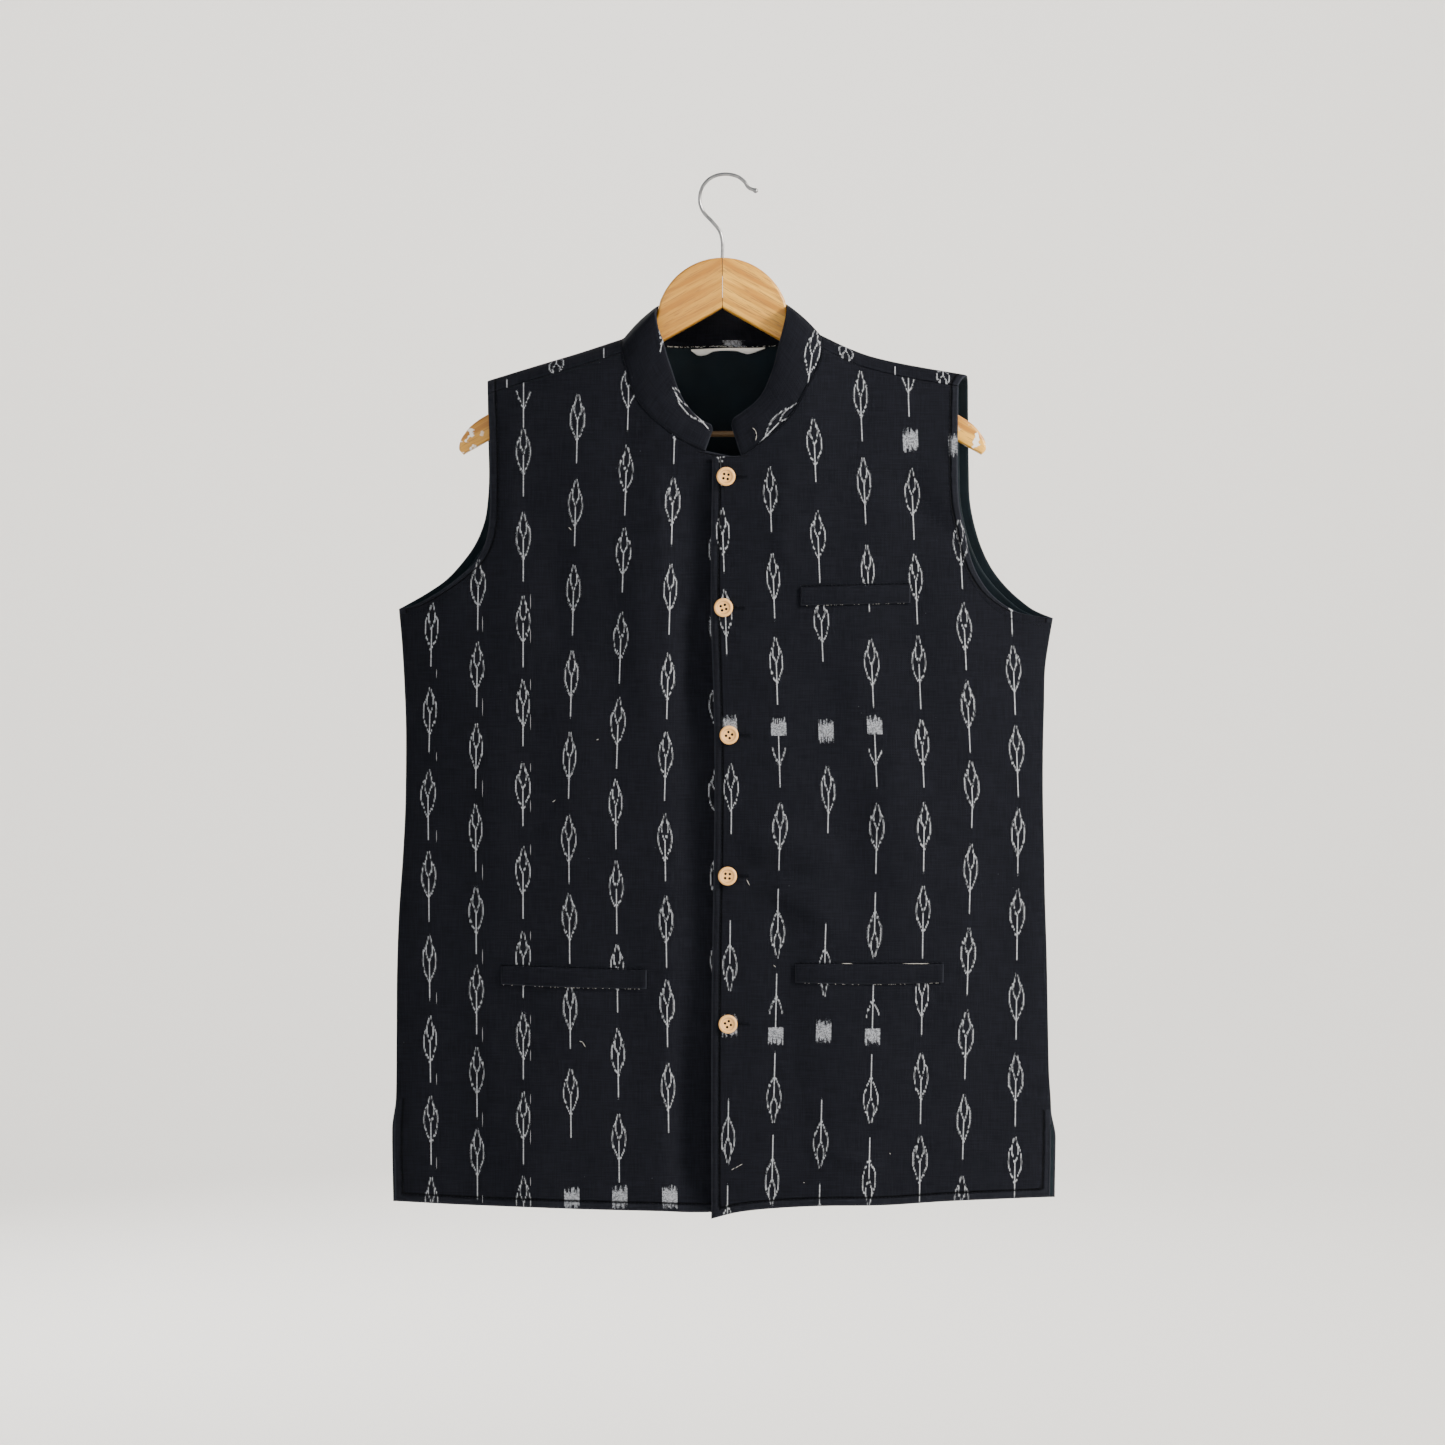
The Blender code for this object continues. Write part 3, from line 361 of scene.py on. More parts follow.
# the cloth's edge is turned in, so the wall thins over its last two rows
def roundRim(outer, inner, amount):
    rows, columns = outer.shape[:2]
    down = np.minimum(np.arange(rows), np.arange(rows)[::-1])[:, None]
    across = np.minimum(np.arange(columns), np.arange(columns)[::-1])[None, :]
    near = np.minimum(down, across)
    pull = np.where(near == 0, amount, np.where(near == 1, amount * 0.25, 0))[..., None]
    middle = (outer + inner) / 2
    return lerp(outer, middle, pull), lerp(inner, middle, pull)


# a wall with its cloth map: u and v are the cloth's own millimetres, and edge is the distance
# to the nearest finished edge
def clothWall(name, outer, inner, cloth, edge, material, chart=None, rim=0.35, inside=None, plan=None,
              **about):
    outer, inner = roundRim(outer, inner, rim)
    rows, columns = outer.shape[:2]
    points = real(np.concatenate([outer.reshape(-1, 3), inner.reshape(-1, 3)]))
    faces = wallFaces(rows, columns)
    if volumeOf(points, faces) < 0:
        faces = faces[:, ::-1]
    piece = newPiece(name, points, faces.tolist(), material, **about)
    corners = np.tile(cloth.reshape(-1, 2), (2, 1))[faces]
    addMap(piece, "cloth", corners)
    count = (rows - 1) * (columns - 1)
    if inside:
        piece.data.materials.append(inside)
        number = np.zeros(len(faces), np.int32)
        number[count:2 * count] = 1
        piece.data.polygons.foreach_set("material_index", number)
    if chart is not None:
        places = np.concatenate([np.zeros((rows * columns, 1)), cloth.reshape(-1, 2)], 1)
        if plan is not None:
            places = plan.reshape(-1, 3)[:, [1, 0, 2]]
        isInner = np.zeros(len(faces), bool)
        isInner[count:2 * count] = True
        motif, facts = motifMaps(np.tile(places, (2, 1))[faces], chart, isInner)
        addMap(piece, "motif", motif)
        layer = piece.data.attributes.new("leaf", "FLOAT_VECTOR", "CORNER")
        layer.data.foreach_set("vector", facts.reshape(-1).astype(np.float32))
    layer = piece.data.attributes.new("edge", "FLOAT", "POINT")
    layer.data.foreach_set("value", np.tile(edge.reshape(-1), 2).astype(np.float32))
    return piece


def addMap(piece, name, corners):
    layer = piece.data.uv_layers.new(name=name)
    layer.data.foreach_set("uv", corners.reshape(-1).astype(np.float32))


# Ikat leaves. The columns are 41 mm apart and a leaf comes every 70 mm. Each column has its x at
# three heights, the middles of the leaves that point up and down, the leaves that are half woven
# and the solid blocks, all by the photo's pixels.
chartTops = (400.0, 800.0, 1200.0)
leafHeight = 38.4
blockReach = 12.0
blockAside = 100.0  # a block's middle lies this far to the side in the motif map
bareAside = 500.0
motifReach = 19.0  # how far to each side a motif's zone goes
leafPitch = (40.7, 70.3)  # from column to column, and from leaf to leaf
leafCharts = {
    "frontRight": [
        {"x": (436, 427.5, 431), "up": (627, 711, 794, 876, 959, 1040, 1120, 1202)},
        {"x": (480, 475, 477), "up": (585, 667, 747, 829, 911, 990, 1072, 1153)},
        {"x": (523, 522.4, 523), "up": (452, 537, 620, 704, 787, 871, 956, 1036, 1117, 1201), "half": (385,)},
        {"x": (577.5, 568, 571), "up": (418, 504, 589, 675, 757, 839, 917, 1007, 1092), "block": (1199,)},
        {"x": (628, 615, 619), "up": (386, 470, 552, 637, 722, 803, 886, 968, 1053, 1138), "block": (1197,)},
        {"x": (675, 664, 669), "up": (417, 502, 589, 677, 755, 838, 920, 1004, 1087), "block": (1197,)},
        {"x": (716, 715, 719), "up": (549, 625, 705, 792, 877, 960, 1127)},
    ],
    "frontLeft": [
        {"x": (718, 731, 727), "up": (532, 613, 788), "down": (966, 1140, 1228), "half": (441,),
         "block": (727, 1026)},
        {"x": (767, 780, 771), "up": (492, 577, 662, 827), "down": (933, 1098, 1181), "half": (743,),
         "halfDown": (1018,), "block": (729, 1033)},
        {"x": (812, 828, 819), "up": (443, 535, 620, 790), "down": (971, 1143, 1227), "block": (731, 1031)},
        {"x": (860, 877, 868), "up": (395, 482, 570, 663, 827), "down": (934, 1100, 1181), "half": (743,),
         "halfDown": (1022,), "block": (727, 1034)},
        {"x": (908, 924, 919), "up": (493, 578, 661, 743, 827, 910, 994, 1077, 1160), "half": (371,),
         "block": (440,)},
        {"x": (953, 972, 961), "up": (543, 627, 705, 785, 868, 953, 1035, 1119, 1200), "block": (445,)},
        {"x": (1003, 1018, 1014), "up": (590, 669, 750, 833, 914, 998, 1078, 1160)},
    ],
}


# one dictionary for each leaf: its x at three heights, z, kind, and where its stalk ends
def chartMotifs(name, seed):
    chance = np.random.default_rng(seed)
    motifs = []
    for column in leafCharts[name]:
        for kind in ("up", "down", "half", "halfDown", "block"):
            for py in column.get(kind, ()):
                motifs.append({"x": photoX(column["x"]), "z": float(photoZ(py)), "kind": kind,
                               "stalk": chance.uniform(1.38, 1.54)})
    return motifs


# the same repeat laid out evenly, for the panels that the camera doesn't face
def evenMotifs(xRange, zRange, phase, seed):
    chance = np.random.default_rng(seed)
    motifs = []
    for number, x in enumerate(np.arange(xRange[0], xRange[1], leafPitch[0])):
        start = zRange[0] + phase + (35.0 if number % 2 else 0.0)
        for z in np.arange(start, zRange[1], leafPitch[1]):
            motifs.append({"x": np.full(3, x + chance.uniform(-0.6, 0.6)), "z": z + chance.uniform(-1.5, 1.5),
                           "kind": "up", "stalk": chance.uniform(1.40, 1.58)})
    return motifs


# Each face takes the motif whose zone holds its middle. The motif map holds the corner's place from
# that motif's own middle, with blocks 100 mm to the side and bare cloth 500. The leaf
# facts are where the stalk ends, where the leaf starts, and a number of its own for the loose threads.
def motifMaps(places, motifs, isInner):
    plane = places[..., 1:]
    middle = places.mean(axis=1)
    best = np.full(len(middle), np.inf)
    motif = np.full(plane.shape, bareAside)
    facts = np.zeros(places.shape)
    heights = photoZ(chartTops)[::-1]
    for number, item in enumerate(motifs):
        centre = np.interp(plane[..., 1], heights, item["x"][::-1])
        dx, dz = plane[..., 0] - centre, plane[..., 1] - item["z"]
        turn = math.radians(item.get("turn", 0))
        dx, dz = dx * math.cos(turn) - dz * math.sin(turn), dx * math.sin(turn) + dz * math.cos(turn)
        low, high = leafHeight * (0.5 - item["stalk"]) - 3, leafHeight / 2 + 4
        kind = item["kind"]
        isDown = kind in ("down", "halfDown")
        if isDown:
            low, high = -high, -low
        if kind == "block":
            low, high = -blockReach, blockReach
        mx, mz = dx.mean(axis=1), dz.mean(axis=1)
        inside = (np.abs(mx) < motifReach) & (mz > low) & (mz < high)
        inside &= isInner == item.get("inner", False)
        if "side" in item:
            inside &= middle[:, 0] * item["side"] > 0
        distance = np.abs(mz - (low + high) / 2) / (high - low)
        chosen = inside & (distance < best)
        best[chosen] = distance[chosen]
        motif[chosen, :, 0] = dx[chosen] + (blockAside if kind == "block" else 0.0)
        motif[chosen, :, 1] = dz[chosen] * (-1 if isDown else 1)
        facts[chosen] = (item["stalk"], 0.62 if kind.startswith("half") else -0.2, number * 3.7 + 1)
    return motif, facts


# Materials. sRGB hex to linear colour
def colour(hexText):
    parts = np.array([int(hexText[k:k + 2], 16) for k in (1, 3, 5)]) / 255
    linear = np.where(parts <= 0.04045, parts / 12.92, ((parts + 0.055) / 1.055) ** 2.4)
    return (*linear.tolist(), 1.0)


# adds a node with its settings, and links or sets its inputs
def add(tree, kind, inputs=None, **settings):
    made = tree.nodes.new(kind)
    for name, value in settings.items():
        setattr(made, name, value)
    for key, value in (inputs or {}).items():
        if isinstance(value, bpy.types.Node):
            value = value.outputs[0]
        if isinstance(value, bpy.types.NodeSocket):
            tree.links.new(value, made.inputs[key])
        else:
            made.inputs[key].default_value = value
    return made


def newMaterial(name, **shader):
    made = bpy.data.materials.new(name)
    made.use_nodes = True
    tree = made.node_tree
    principled = tree.nodes["Principled BSDF"]
    for key, value in shader.items():
        principled.inputs[key].default_value = value
    return made, tree, principled


# settings of a Map Range that is 1 up to the first value and 0 from the second
def threshold(value, full, none):
    return {"Value": value, "From Min": full, "From Max": none, "To Min": 1.0, "To Max": 0.0}


# Handwoven cotton, dyed black in the yarn. Matt with a faint bloom from its loose fibres, slubs
# along both threads, and pale leaves whose lines are single threads that end unevenly, as the yarn
# was tied and dyed before weaving. Threads are 0.85 mm apart, drawn as coarse as the render shows.
ikat = {
    "black": "#0c0e14", "blackWorn": "#13151c", "rubbed": "#2d3038", "ink": "#a0a5ad", "blockInk": "#8c919a",
    "thread": 0.85, "weave": 0.9, "strokeFull": 0.14, "strokeNone": 0.50, "loose": 3.4, "leafHalf": 5.5,
    "leafOuter": [(0.0, 0.0), (0.16, 0.42), (0.24, 0.66), (0.32, 0.88), (0.44, 1.0), (0.58, 1.0),
                  (0.70, 0.84), (0.84, 0.48), (0.96, 0.12), (1.0, 0.0)],
    "leafInner": [(0.0, 0.20), (0.08, 0.26), (0.20, 0.46), (0.30, 0.52), (0.42, 0.32), (0.52, 0.08),
                  (0.56, 0.0), (1.0, 0.0)],
}
stitchIn = 6.4  # how far the topstitching lies inside a finished edge


def ikatCotton(name, hasLeaves, isStitched):
    made, tree, principled = newMaterial(name, **{
        "Roughness": 0.9, "Sheen Weight": 0.01, "Sheen Roughness": 0.5, "Specular IOR Level": 0.06,
    })
    principled.inputs["Sheen Tint"].default_value = colour("#9ea8bb")
    cloth = add(tree, "ShaderNodeUVMap", uv_map="cloth")
    place = add(tree, "ShaderNodeSeparateXYZ", {0: cloth})
    slubs = []
    for stretch in ((0.9, 0.05, 1.0), (0.05, 0.9, 1.0)):
        streak = add(tree, "ShaderNodeVectorMath", {0: cloth, 1: stretch}, operation="MULTIPLY")
        slubs.append(add(tree, "ShaderNodeTexNoise", {"Vector": streak, "Scale": 1.0, "Detail": 3.0}))
    slub = add(tree, "ShaderNodeMath", {0: slubs[0], 1: slubs[1]}, operation="ADD")
    tone = add(tree, "ShaderNodeMapRange", {"Value": slub, "From Min": 0.8, "From Max": 1.2})
    shade = add(tree, "ShaderNodeMix", {0: tone, 6: colour(ikat["black"]), 7: colour(ikat["blackWorn"])},
                data_type="RGBA").outputs[2]
    if hasLeaves:
        shade = leafInk(tree, place, shade)
    # the fold of each edge is rubbed a little pale, and bits of lint lie here and there
    edge = add(tree, "ShaderNodeAttribute", attribute_name="edge")
    rubbed = add(tree, "ShaderNodeMapRange", {"Value": edge.outputs["Fac"], "From Min": 0.3, "From Max": 1.8,
                                              "To Min": 0.5, "To Max": 0.0})
    if isStitched:
        turned = add(tree, "ShaderNodeMapRange", {"Value": edge.outputs["Fac"], "From Min": stitchIn - 1.0,
                                                  "From Max": stitchIn + 0.2, "To Min": 0.14, "To Max": 0.0})
        rubbed = add(tree, "ShaderNodeMath", {0: rubbed, 1: turned}, operation="ADD")
    shade = add(tree, "ShaderNodeMix", {0: rubbed, 6: shade, 7: colour(ikat["rubbed"])},
                data_type="RGBA").outputs[2]
    if isStitched:  # painted shade: the cloth is darkened along the row of stitches, where its groove is shaded
        away = add(tree, "ShaderNodeMath", {0: edge.outputs["Fac"], 1: stitchIn + 0.5}, operation="SUBTRACT")
        beside = add(tree, "ShaderNodeMath", {0: away}, operation="ABSOLUTE")
        paintedStitchShade = add(tree, "ShaderNodeMapRange", {"Value": beside, "From Min": 0.3, "From Max": 1.5,
                                                    "To Min": 0.85, "To Max": 0.0})
        shade = add(tree, "ShaderNodeMix", {0: paintedStitchShade, 6: shade, 7: colour("#040508")},
                    data_type="RGBA").outputs[2]
    lint = add(tree, "ShaderNodeTexVoronoi", {"Vector": cloth, "Scale": 0.045})
    lint = add(tree, "ShaderNodeMapRange", threshold(lint.outputs["Distance"], 0.010, 0.018))
    lint = add(tree, "ShaderNodeMath", {0: lint, 1: 0.35}, operation="MULTIPLY")
    shade = add(tree, "ShaderNodeMix", {0: lint, 6: shade, 7: colour("#777b80")}, data_type="RGBA").outputs[2]
    tree.links.new(shade, principled.inputs["Base Color"])
    # plain weave as the product of two waves, one thread apart
    waves = []
    for axis in ("X", "Y"):
        turns = add(tree, "ShaderNodeMath", {0: place.outputs[axis], 1: math.pi / ikat["weave"]},
                    operation="MULTIPLY")
        waves.append(add(tree, "ShaderNodeMath", {0: turns}, operation="SINE"))
    weave = add(tree, "ShaderNodeMath", {0: waves[0], 1: waves[1]}, operation="MULTIPLY")
    height = add(tree, "ShaderNodeMath", {0: slub, 1: 0.25}, operation="MULTIPLY")
    height = add(tree, "ShaderNodeMath", {0: weave, 1: 0.03, 2: height}, operation="MULTIPLY_ADD")
    if isStitched:  # the row of stitches pulls a groove in, and the turned edge outside it stands proud
        away = add(tree, "ShaderNodeMath", {0: edge.outputs["Fac"], 1: stitchIn}, operation="SUBTRACT")
        beside = add(tree, "ShaderNodeMath", {0: away}, operation="ABSOLUTE")
        groove = add(tree, "ShaderNodeMapRange", {
            "Value": beside, "From Min": 0.0, "From Max": 1.7, "To Min": -1.3, "To Max": 0.0,
        }, interpolation_type="SMOOTHSTEP")
        proud = add(tree, "ShaderNodeMapRange", {
            "Value": away, "From Min": -1.8, "From Max": 1.8, "To Min": 0.7, "To Max": 0.0,
        }, interpolation_type="SMOOTHSTEP")
        pucker = add(tree, "ShaderNodeTexNoise", {"Vector": cloth, "Scale": 0.13, "Detail": 1.0})
        pucker = add(tree, "ShaderNodeMapRange", {"Value": pucker, "From Min": 0.3, "From Max": 0.7,
                                                  "To Min": 0.4, "To Max": 1.2})
        seam = add(tree, "ShaderNodeMath", {0: groove, 1: proud}, operation="ADD")
        height = add(tree, "ShaderNodeMath", {0: seam, 1: pucker, 2: height}, operation="MULTIPLY_ADD")
    bump = add(tree, "ShaderNodeBump", {"Height": height, "Distance": 0.001, "Strength": 1.0})
    tree.links.new(bump.outputs[0], principled.inputs["Normal"])
    return made


# colour of the cloth with the leaf of this face's motif drawn over it: a line of the leaf inks the
# threads whose middle is near the leaf's half width at that height, moved along by each thread's own
# looseness
def leafInk(tree, place, shade):
    motif = add(tree, "ShaderNodeUVMap", uv_map="motif")
    leaf = add(tree, "ShaderNodeAttribute", attribute_name="leaf")
    here = add(tree, "ShaderNodeSeparateXYZ", {0: motif})
    facts = add(tree, "ShaderNodeSeparateXYZ", {0: leaf.outputs["Vector"]})
    nudged = add(tree, "ShaderNodeMath", {0: here.outputs["X"], 1: ikat["thread"] / 2}, operation="ADD")
    thread = add(tree, "ShaderNodeMath", {0: nudged, 1: ikat["thread"]}, operation="SNAP")
    own = add(tree, "ShaderNodeCombineXYZ", {0: thread, 1: facts.outputs["Z"]})
    loose = add(tree, "ShaderNodeTexWhiteNoise", {"Vector": own}, noise_dimensions="2D")
    loose = add(tree, "ShaderNodeMath", {0: loose, 1: 0.5}, operation="SUBTRACT")
    shifted = add(tree, "ShaderNodeMath", {0: loose, 1: ikat["loose"], 2: here.outputs["Y"]},
                  operation="MULTIPLY_ADD")
    fromTop = add(tree, "ShaderNodeMath", {0: shifted, 1: -1.0 / leafHeight, 2: 0.5},
                  operation="MULTIPLY_ADD")
    side = add(tree, "ShaderNodeMath", {0: thread}, operation="ABSOLUTE")
    width = add(tree, "ShaderNodeTexWhiteNoise", {"W": facts.outputs["Z"]}, noise_dimensions="1D")
    width = add(tree, "ShaderNodeMath", {0: width, 1: 1.1, 2: ikat["leafHalf"] - 0.5},
                operation="MULTIPLY_ADD")
    strokes = []
    for key, start, end in (("leafOuter", 0.19, 1.02), ("leafInner", -0.02, 0.57)):
        half = add(tree, "ShaderNodeFloatCurve", {"Value": fromTop})
        curve = half.mapping.curves[0]
        for number, (at, value) in enumerate(ikat[key]):
            if number < len(curve.points):
                curve.points[number].location = (at, value)
            else:
                curve.points.new(at, value)
        half.mapping.update()
        half = add(tree, "ShaderNodeMath", {0: half, 1: width}, operation="MULTIPLY")
        away = add(tree, "ShaderNodeMath", {0: side, 1: half}, operation="SUBTRACT")
        away = add(tree, "ShaderNodeMath", {0: away}, operation="ABSOLUTE")
        strokes.append((away, start, end))
    # the stem of a half woven leaf starts at the block above it
    isHalf = add(tree, "ShaderNodeMath", {0: facts.outputs["Y"], 1: 0.0}, operation="GREATER_THAN")
    stemStart = add(tree, "ShaderNodeMath", {0: isHalf, 1: -0.45, 2: 0.53}, operation="MULTIPLY_ADD")
    started = add(tree, "ShaderNodeMath", {0: fromTop, 1: facts.outputs["Y"]}, operation="GREATER_THAN")
    strokes.append((side, stemStart, facts.outputs["X"]))
    lines = []
    for away, start, end in strokes:
        line = add(tree, "ShaderNodeMapRange", threshold(away, ikat["strokeFull"], ikat["strokeNone"]))
        above = add(tree, "ShaderNodeMath", {0: fromTop, 1: start}, operation="GREATER_THAN")
        below = add(tree, "ShaderNodeMath", {0: fromTop, 1: end}, operation="LESS_THAN")
        for mask in (above, below):
            line = add(tree, "ShaderNodeMath", {0: line, 1: mask}, operation="MULTIPLY")
        lines.append(line)
    ink = add(tree, "ShaderNodeMath", {0: lines[0], 1: lines[1]}, operation="MAXIMUM")
    ink = add(tree, "ShaderNodeMath", {0: ink, 1: started}, operation="MULTIPLY")
    ink = add(tree, "ShaderNodeMath", {0: ink, 1: lines[2]}, operation="MAXIMUM")
    # a block is 13 mm wide and about 14 mm tall, with ends as uneven as its threads
    blockSide = add(tree, "ShaderNodeMath", {0: thread, 1: blockAside}, operation="SUBTRACT")
    blockSide = add(tree, "ShaderNodeMath", {0: blockSide}, operation="ABSOLUTE")
    wide = add(tree, "ShaderNodeMath", {0: blockSide, 1: 6.4}, operation="LESS_THAN")
    ragged = add(tree, "ShaderNodeMath", {0: loose, 1: 6.4, 2: here.outputs["Y"]}, operation="MULTIPLY_ADD")
    ragged = add(tree, "ShaderNodeMath", {0: ragged}, operation="ABSOLUTE")
    tall = add(tree, "ShaderNodeMapRange", threshold(ragged, 6.8, 7.6))
    block = add(tree, "ShaderNodeMath", {0: wide, 1: tall}, operation="MULTIPLY")
    # each thread took the dye its own way, and the dark weft crosses it
    along = add(tree, "ShaderNodeMath", {0: here.outputs["Y"], 1: 0.22}, operation="MULTIPLY")
    grainPlace = add(tree, "ShaderNodeCombineXYZ", {0: thread, 1: along, 2: facts.outputs["Z"]})
    grain = add(tree, "ShaderNodeTexNoise", {"Vector": grainPlace, "Scale": 3.7, "Detail": 1.0})
    lineGrain = add(tree, "ShaderNodeMapRange", {"Value": grain, "From Min": 0.30, "From Max": 0.58,
                                                 "To Min": 0.55, "To Max": 1.0})
    blockGrain = add(tree, "ShaderNodeMapRange", {"Value": grain, "From Min": 0.38, "From Max": 0.60,
                                                  "To Min": 0.30, "To Max": 1.0})
    ink = add(tree, "ShaderNodeMath", {0: ink, 1: lineGrain}, operation="MULTIPLY")
    block = add(tree, "ShaderNodeMath", {0: block, 1: blockGrain}, operation="MULTIPLY")
    drawn = add(tree, "ShaderNodeMix", {0: ink, 6: shade, 7: colour(ikat["ink"])}, data_type="RGBA")
    drawn = add(tree, "ShaderNodeMix", {0: block, 6: drawn.outputs[2], 7: colour(ikat["blockInk"])},
                data_type="RGBA")
    return drawn.outputs[2]


ikatCloth = ikatCotton("black_ikat_cotton", True, True)
collarCloth = ikatCotton("black_ikat_collar_cotton", True, False)
plainCloth = ikatCotton("black_plain_cotton", False, False)


# Lining: smooth twill, dark teal black, with a low gloss along its folds
liningTwill, tree, principled = newMaterial(
    "dark_lining_twill", Roughness=0.6, **{"Sheen Weight": 0.02, "Specular IOR Level": 0.12})
cloth = add(tree, "ShaderNodeUVMap", uv_map="cloth")
rib = add(tree, "ShaderNodeTexWave", {"Vector": cloth, "Scale": 0.9, "Distortion": 0.3},
          bands_direction="DIAGONAL")
wrinkle = add(tree, "ShaderNodeTexNoise", {"Vector": cloth, "Scale": 0.035, "Detail": 3.0})
mixed = add(tree, "ShaderNodeMix", {0: wrinkle, 6: colour("#071016"), 7: colour("#0d1c25")}, data_type="RGBA")
tree.links.new(mixed.outputs[2], principled.inputs["Base Color"])
height = add(tree, "ShaderNodeMath", {0: rib, 1: 0.03, 2: wrinkle}, operation="MULTIPLY_ADD")
bump = add(tree, "ShaderNodeBump", {"Height": height, "Distance": 0.003, "Strength": 0.6})
tree.links.new(bump.outputs[0], principled.inputs["Normal"])


# Fronts. The sides are the picture's left and right.
signOf = {"left": -1, "right": 1}


def sidePart(side, name):
    return form[name + side.capitalize()]


def halfWidth(side, z):
    return curves["side" + side.capitalize()](z)


def skirtHeights(side, steps):
    return np.linspace(sidePart(side, "armFront")[-1][1], sidePart(side, "side")[0][0], steps + 1)


def sideOffset(side, z):
    return form["gap"] / 2 + form["ventSlit"] * ease(0, form["ventFade"], sidePart(side, "vent") - z)


frontRows = {"neck": 34, "corner": 7, "chest": 44, "skirt": 132, "columns": 84, "crowding": 1.25,
             "cornerShare": 0.93}


# rows from the shoulder seam to the hem: each runs from the neckline or front edge to the
# armhole or side seam, straight in x and z, eased at both ends onto the seam and the hem
def frontGrid(panel, side):
    sign = signOf[side]
    neckline = route(sidePart(side, "neck"))
    armhole = route([(sign * x, z) for x, z in sidePart(side, "armFront")])
    isOverlap = panel == "frontLeft"

    def edgeX(z):
        return curves["overlapEdge"](z) if isOverlap else np.full_like(z, form["underlapEdge"])

    top = form["overlapTop"] if isOverlap else form["underlapTop"]
    corner = np.array([edgeX(np.array([top]))[0], top])
    neckShare = np.linspace(0, 1, frontRows["neck"] + 1)
    cornerShare = np.linspace(0, 1, frontRows["corner"] + 1)[1:]
    chestShare = np.linspace(0, 1, frontRows["chest"] + 1)[1:]
    heights = skirtHeights(side, frontRows["skirt"])[1:]
    underarm = sidePart(side, "armFront")[-1][1]
    atNeck = form["armShareAtNeck"]
    atCorner = atNeck * frontRows["cornerShare"]
    chestZ = lerp(top, underarm, chestShare)
    bottom = hemOf[panel](edgeX(np.array([heights[-1]])))[0]
    skirtZ = lerp(underarm, bottom, np.arange(1, frontRows["skirt"] + 1) / frontRows["skirt"])
    near = np.concatenate([
        neckline(neckShare),
        lerp(neckline(1.0), corner, cornerShare[:, None]),
        np.stack([edgeX(chestZ), chestZ], 1),
        np.stack([edgeX(skirtZ), skirtZ], 1),
    ])
    far = np.concatenate([
        armhole(neckShare * atCorner),
        armhole(lerp(atCorner, atNeck, cornerShare)),
        armhole(lerp(atNeck, 1.0, chestShare)),
        np.stack([sign * halfWidth(side, heights), heights], 1),
    ])
    share = 1 - (1 - np.linspace(0, 1, frontRows["columns"] + 1)) ** frontRows["crowding"]
    grid = lerp(near[:, None], far[:, None], share[None, :, None])
    x, z = grid[..., 0], grid[..., 1]
    row = np.arange(len(near))[:, None]
    topRows = frontRows["neck"] + 2
    topFade = np.clip(1 - row / topRows, 0, 1) ** 2
    z = z + topFade * (ridge(x[0]) - form["seamDrop"] - z[0])
    hemFade = np.clip((row - len(near) + 1) / frontRows["skirt"] + 1, 0, 1) ** 3
    z = z + hemFade * (hemOf[panel](x[-1]) - z[-1])
    travel = travelAt("front", x, z)
    travel[0] -= seamPart
    out = surfaceNormal(panel, x, travel)
    outer = surface(panel, x, travel) + out * lift(panel, x)[..., None]
    inner = outer - out * form["cloth"]
    seam = slice(len(near) - frontRows["skirt"] - 1, None)
    outer[seam, -1, 1] = -sideOffset(side, z[seam, -1])
    inner[seam, -1] = outer[seam, -1] - np.array([sign * form["cloth"], 0, 0])
    # distance to the front edge, the hem, the armhole and the open vent
    width = np.linalg.norm(far - near, axis=1)[:, None]
    toEdge = np.where(row >= frontRows["neck"], np.abs(x - near[:, :1]), farOff)
    toHem = z - hemOf[panel](x)
    toArm = np.where(row <= len(near) - frontRows["skirt"], width * (1 - share), farOff)
    toVent = np.where(z < sidePart(side, "vent"), np.abs(far[:, :1] - x), farOff)
    edge = np.minimum(np.minimum(toEdge, toHem), np.minimum(toArm, toVent))
    return outer, inner, np.stack([x, z], -1), edge


for panel, side, node in (("frontRight", "left", "front_right"), ("frontLeft", "right", "front_left")):
    outer, inner, cloth, edge = frontGrid(panel, side)
    piece = clothWall(node + "_cloth", outer, inner, cloth, edge, ikatCloth, chartMotifs(panel, 3),
                      inside=liningTwill, replaced=(node,), slot="black_cotton")
print("fronts made")


# Back
def seamTravel():
    x = np.array(form["seamAtX"])
    return float(travelAt("front", x, ridge(x) - form["seamDrop"]))


# travel where the back's neckline starts at the shoulder seam, and at its lowest in the middle
def neckEnds():
    return seamTravel() + seamPart, float(travelAt("back", np.array(0.0), form["neckBackZ"]))


def squared(value):
    return np.maximum(value, 0.0) ** form["neckSquareness"]


# back neckline, an oval in x and travel that is squarer than an ellipse
def backNeck(side, turn):
    reach = sidePart(side, "ridge")[0][0]
    return signOf[side] * reach * squared(np.cos(turn)), lerp(*neckEnds(), squared(np.sin(turn)))


# the same neckline as travel over x
def neckTravel(x):
    reach = np.where(x < 0, form["ridgeLeft"][0][0], form["ridgeRight"][0][0])
    ratio = np.clip(np.abs(x) / reach, 0, 1)
    turn = np.arccos(ratio ** (1 / form["neckSquareness"]))
    return lerp(*neckEnds(), squared(np.sin(turn)))


backRows = {"arm": 74, "skirt": 132, "neckColumns": 26, "armColumns": 46, "crowding": 1.25}


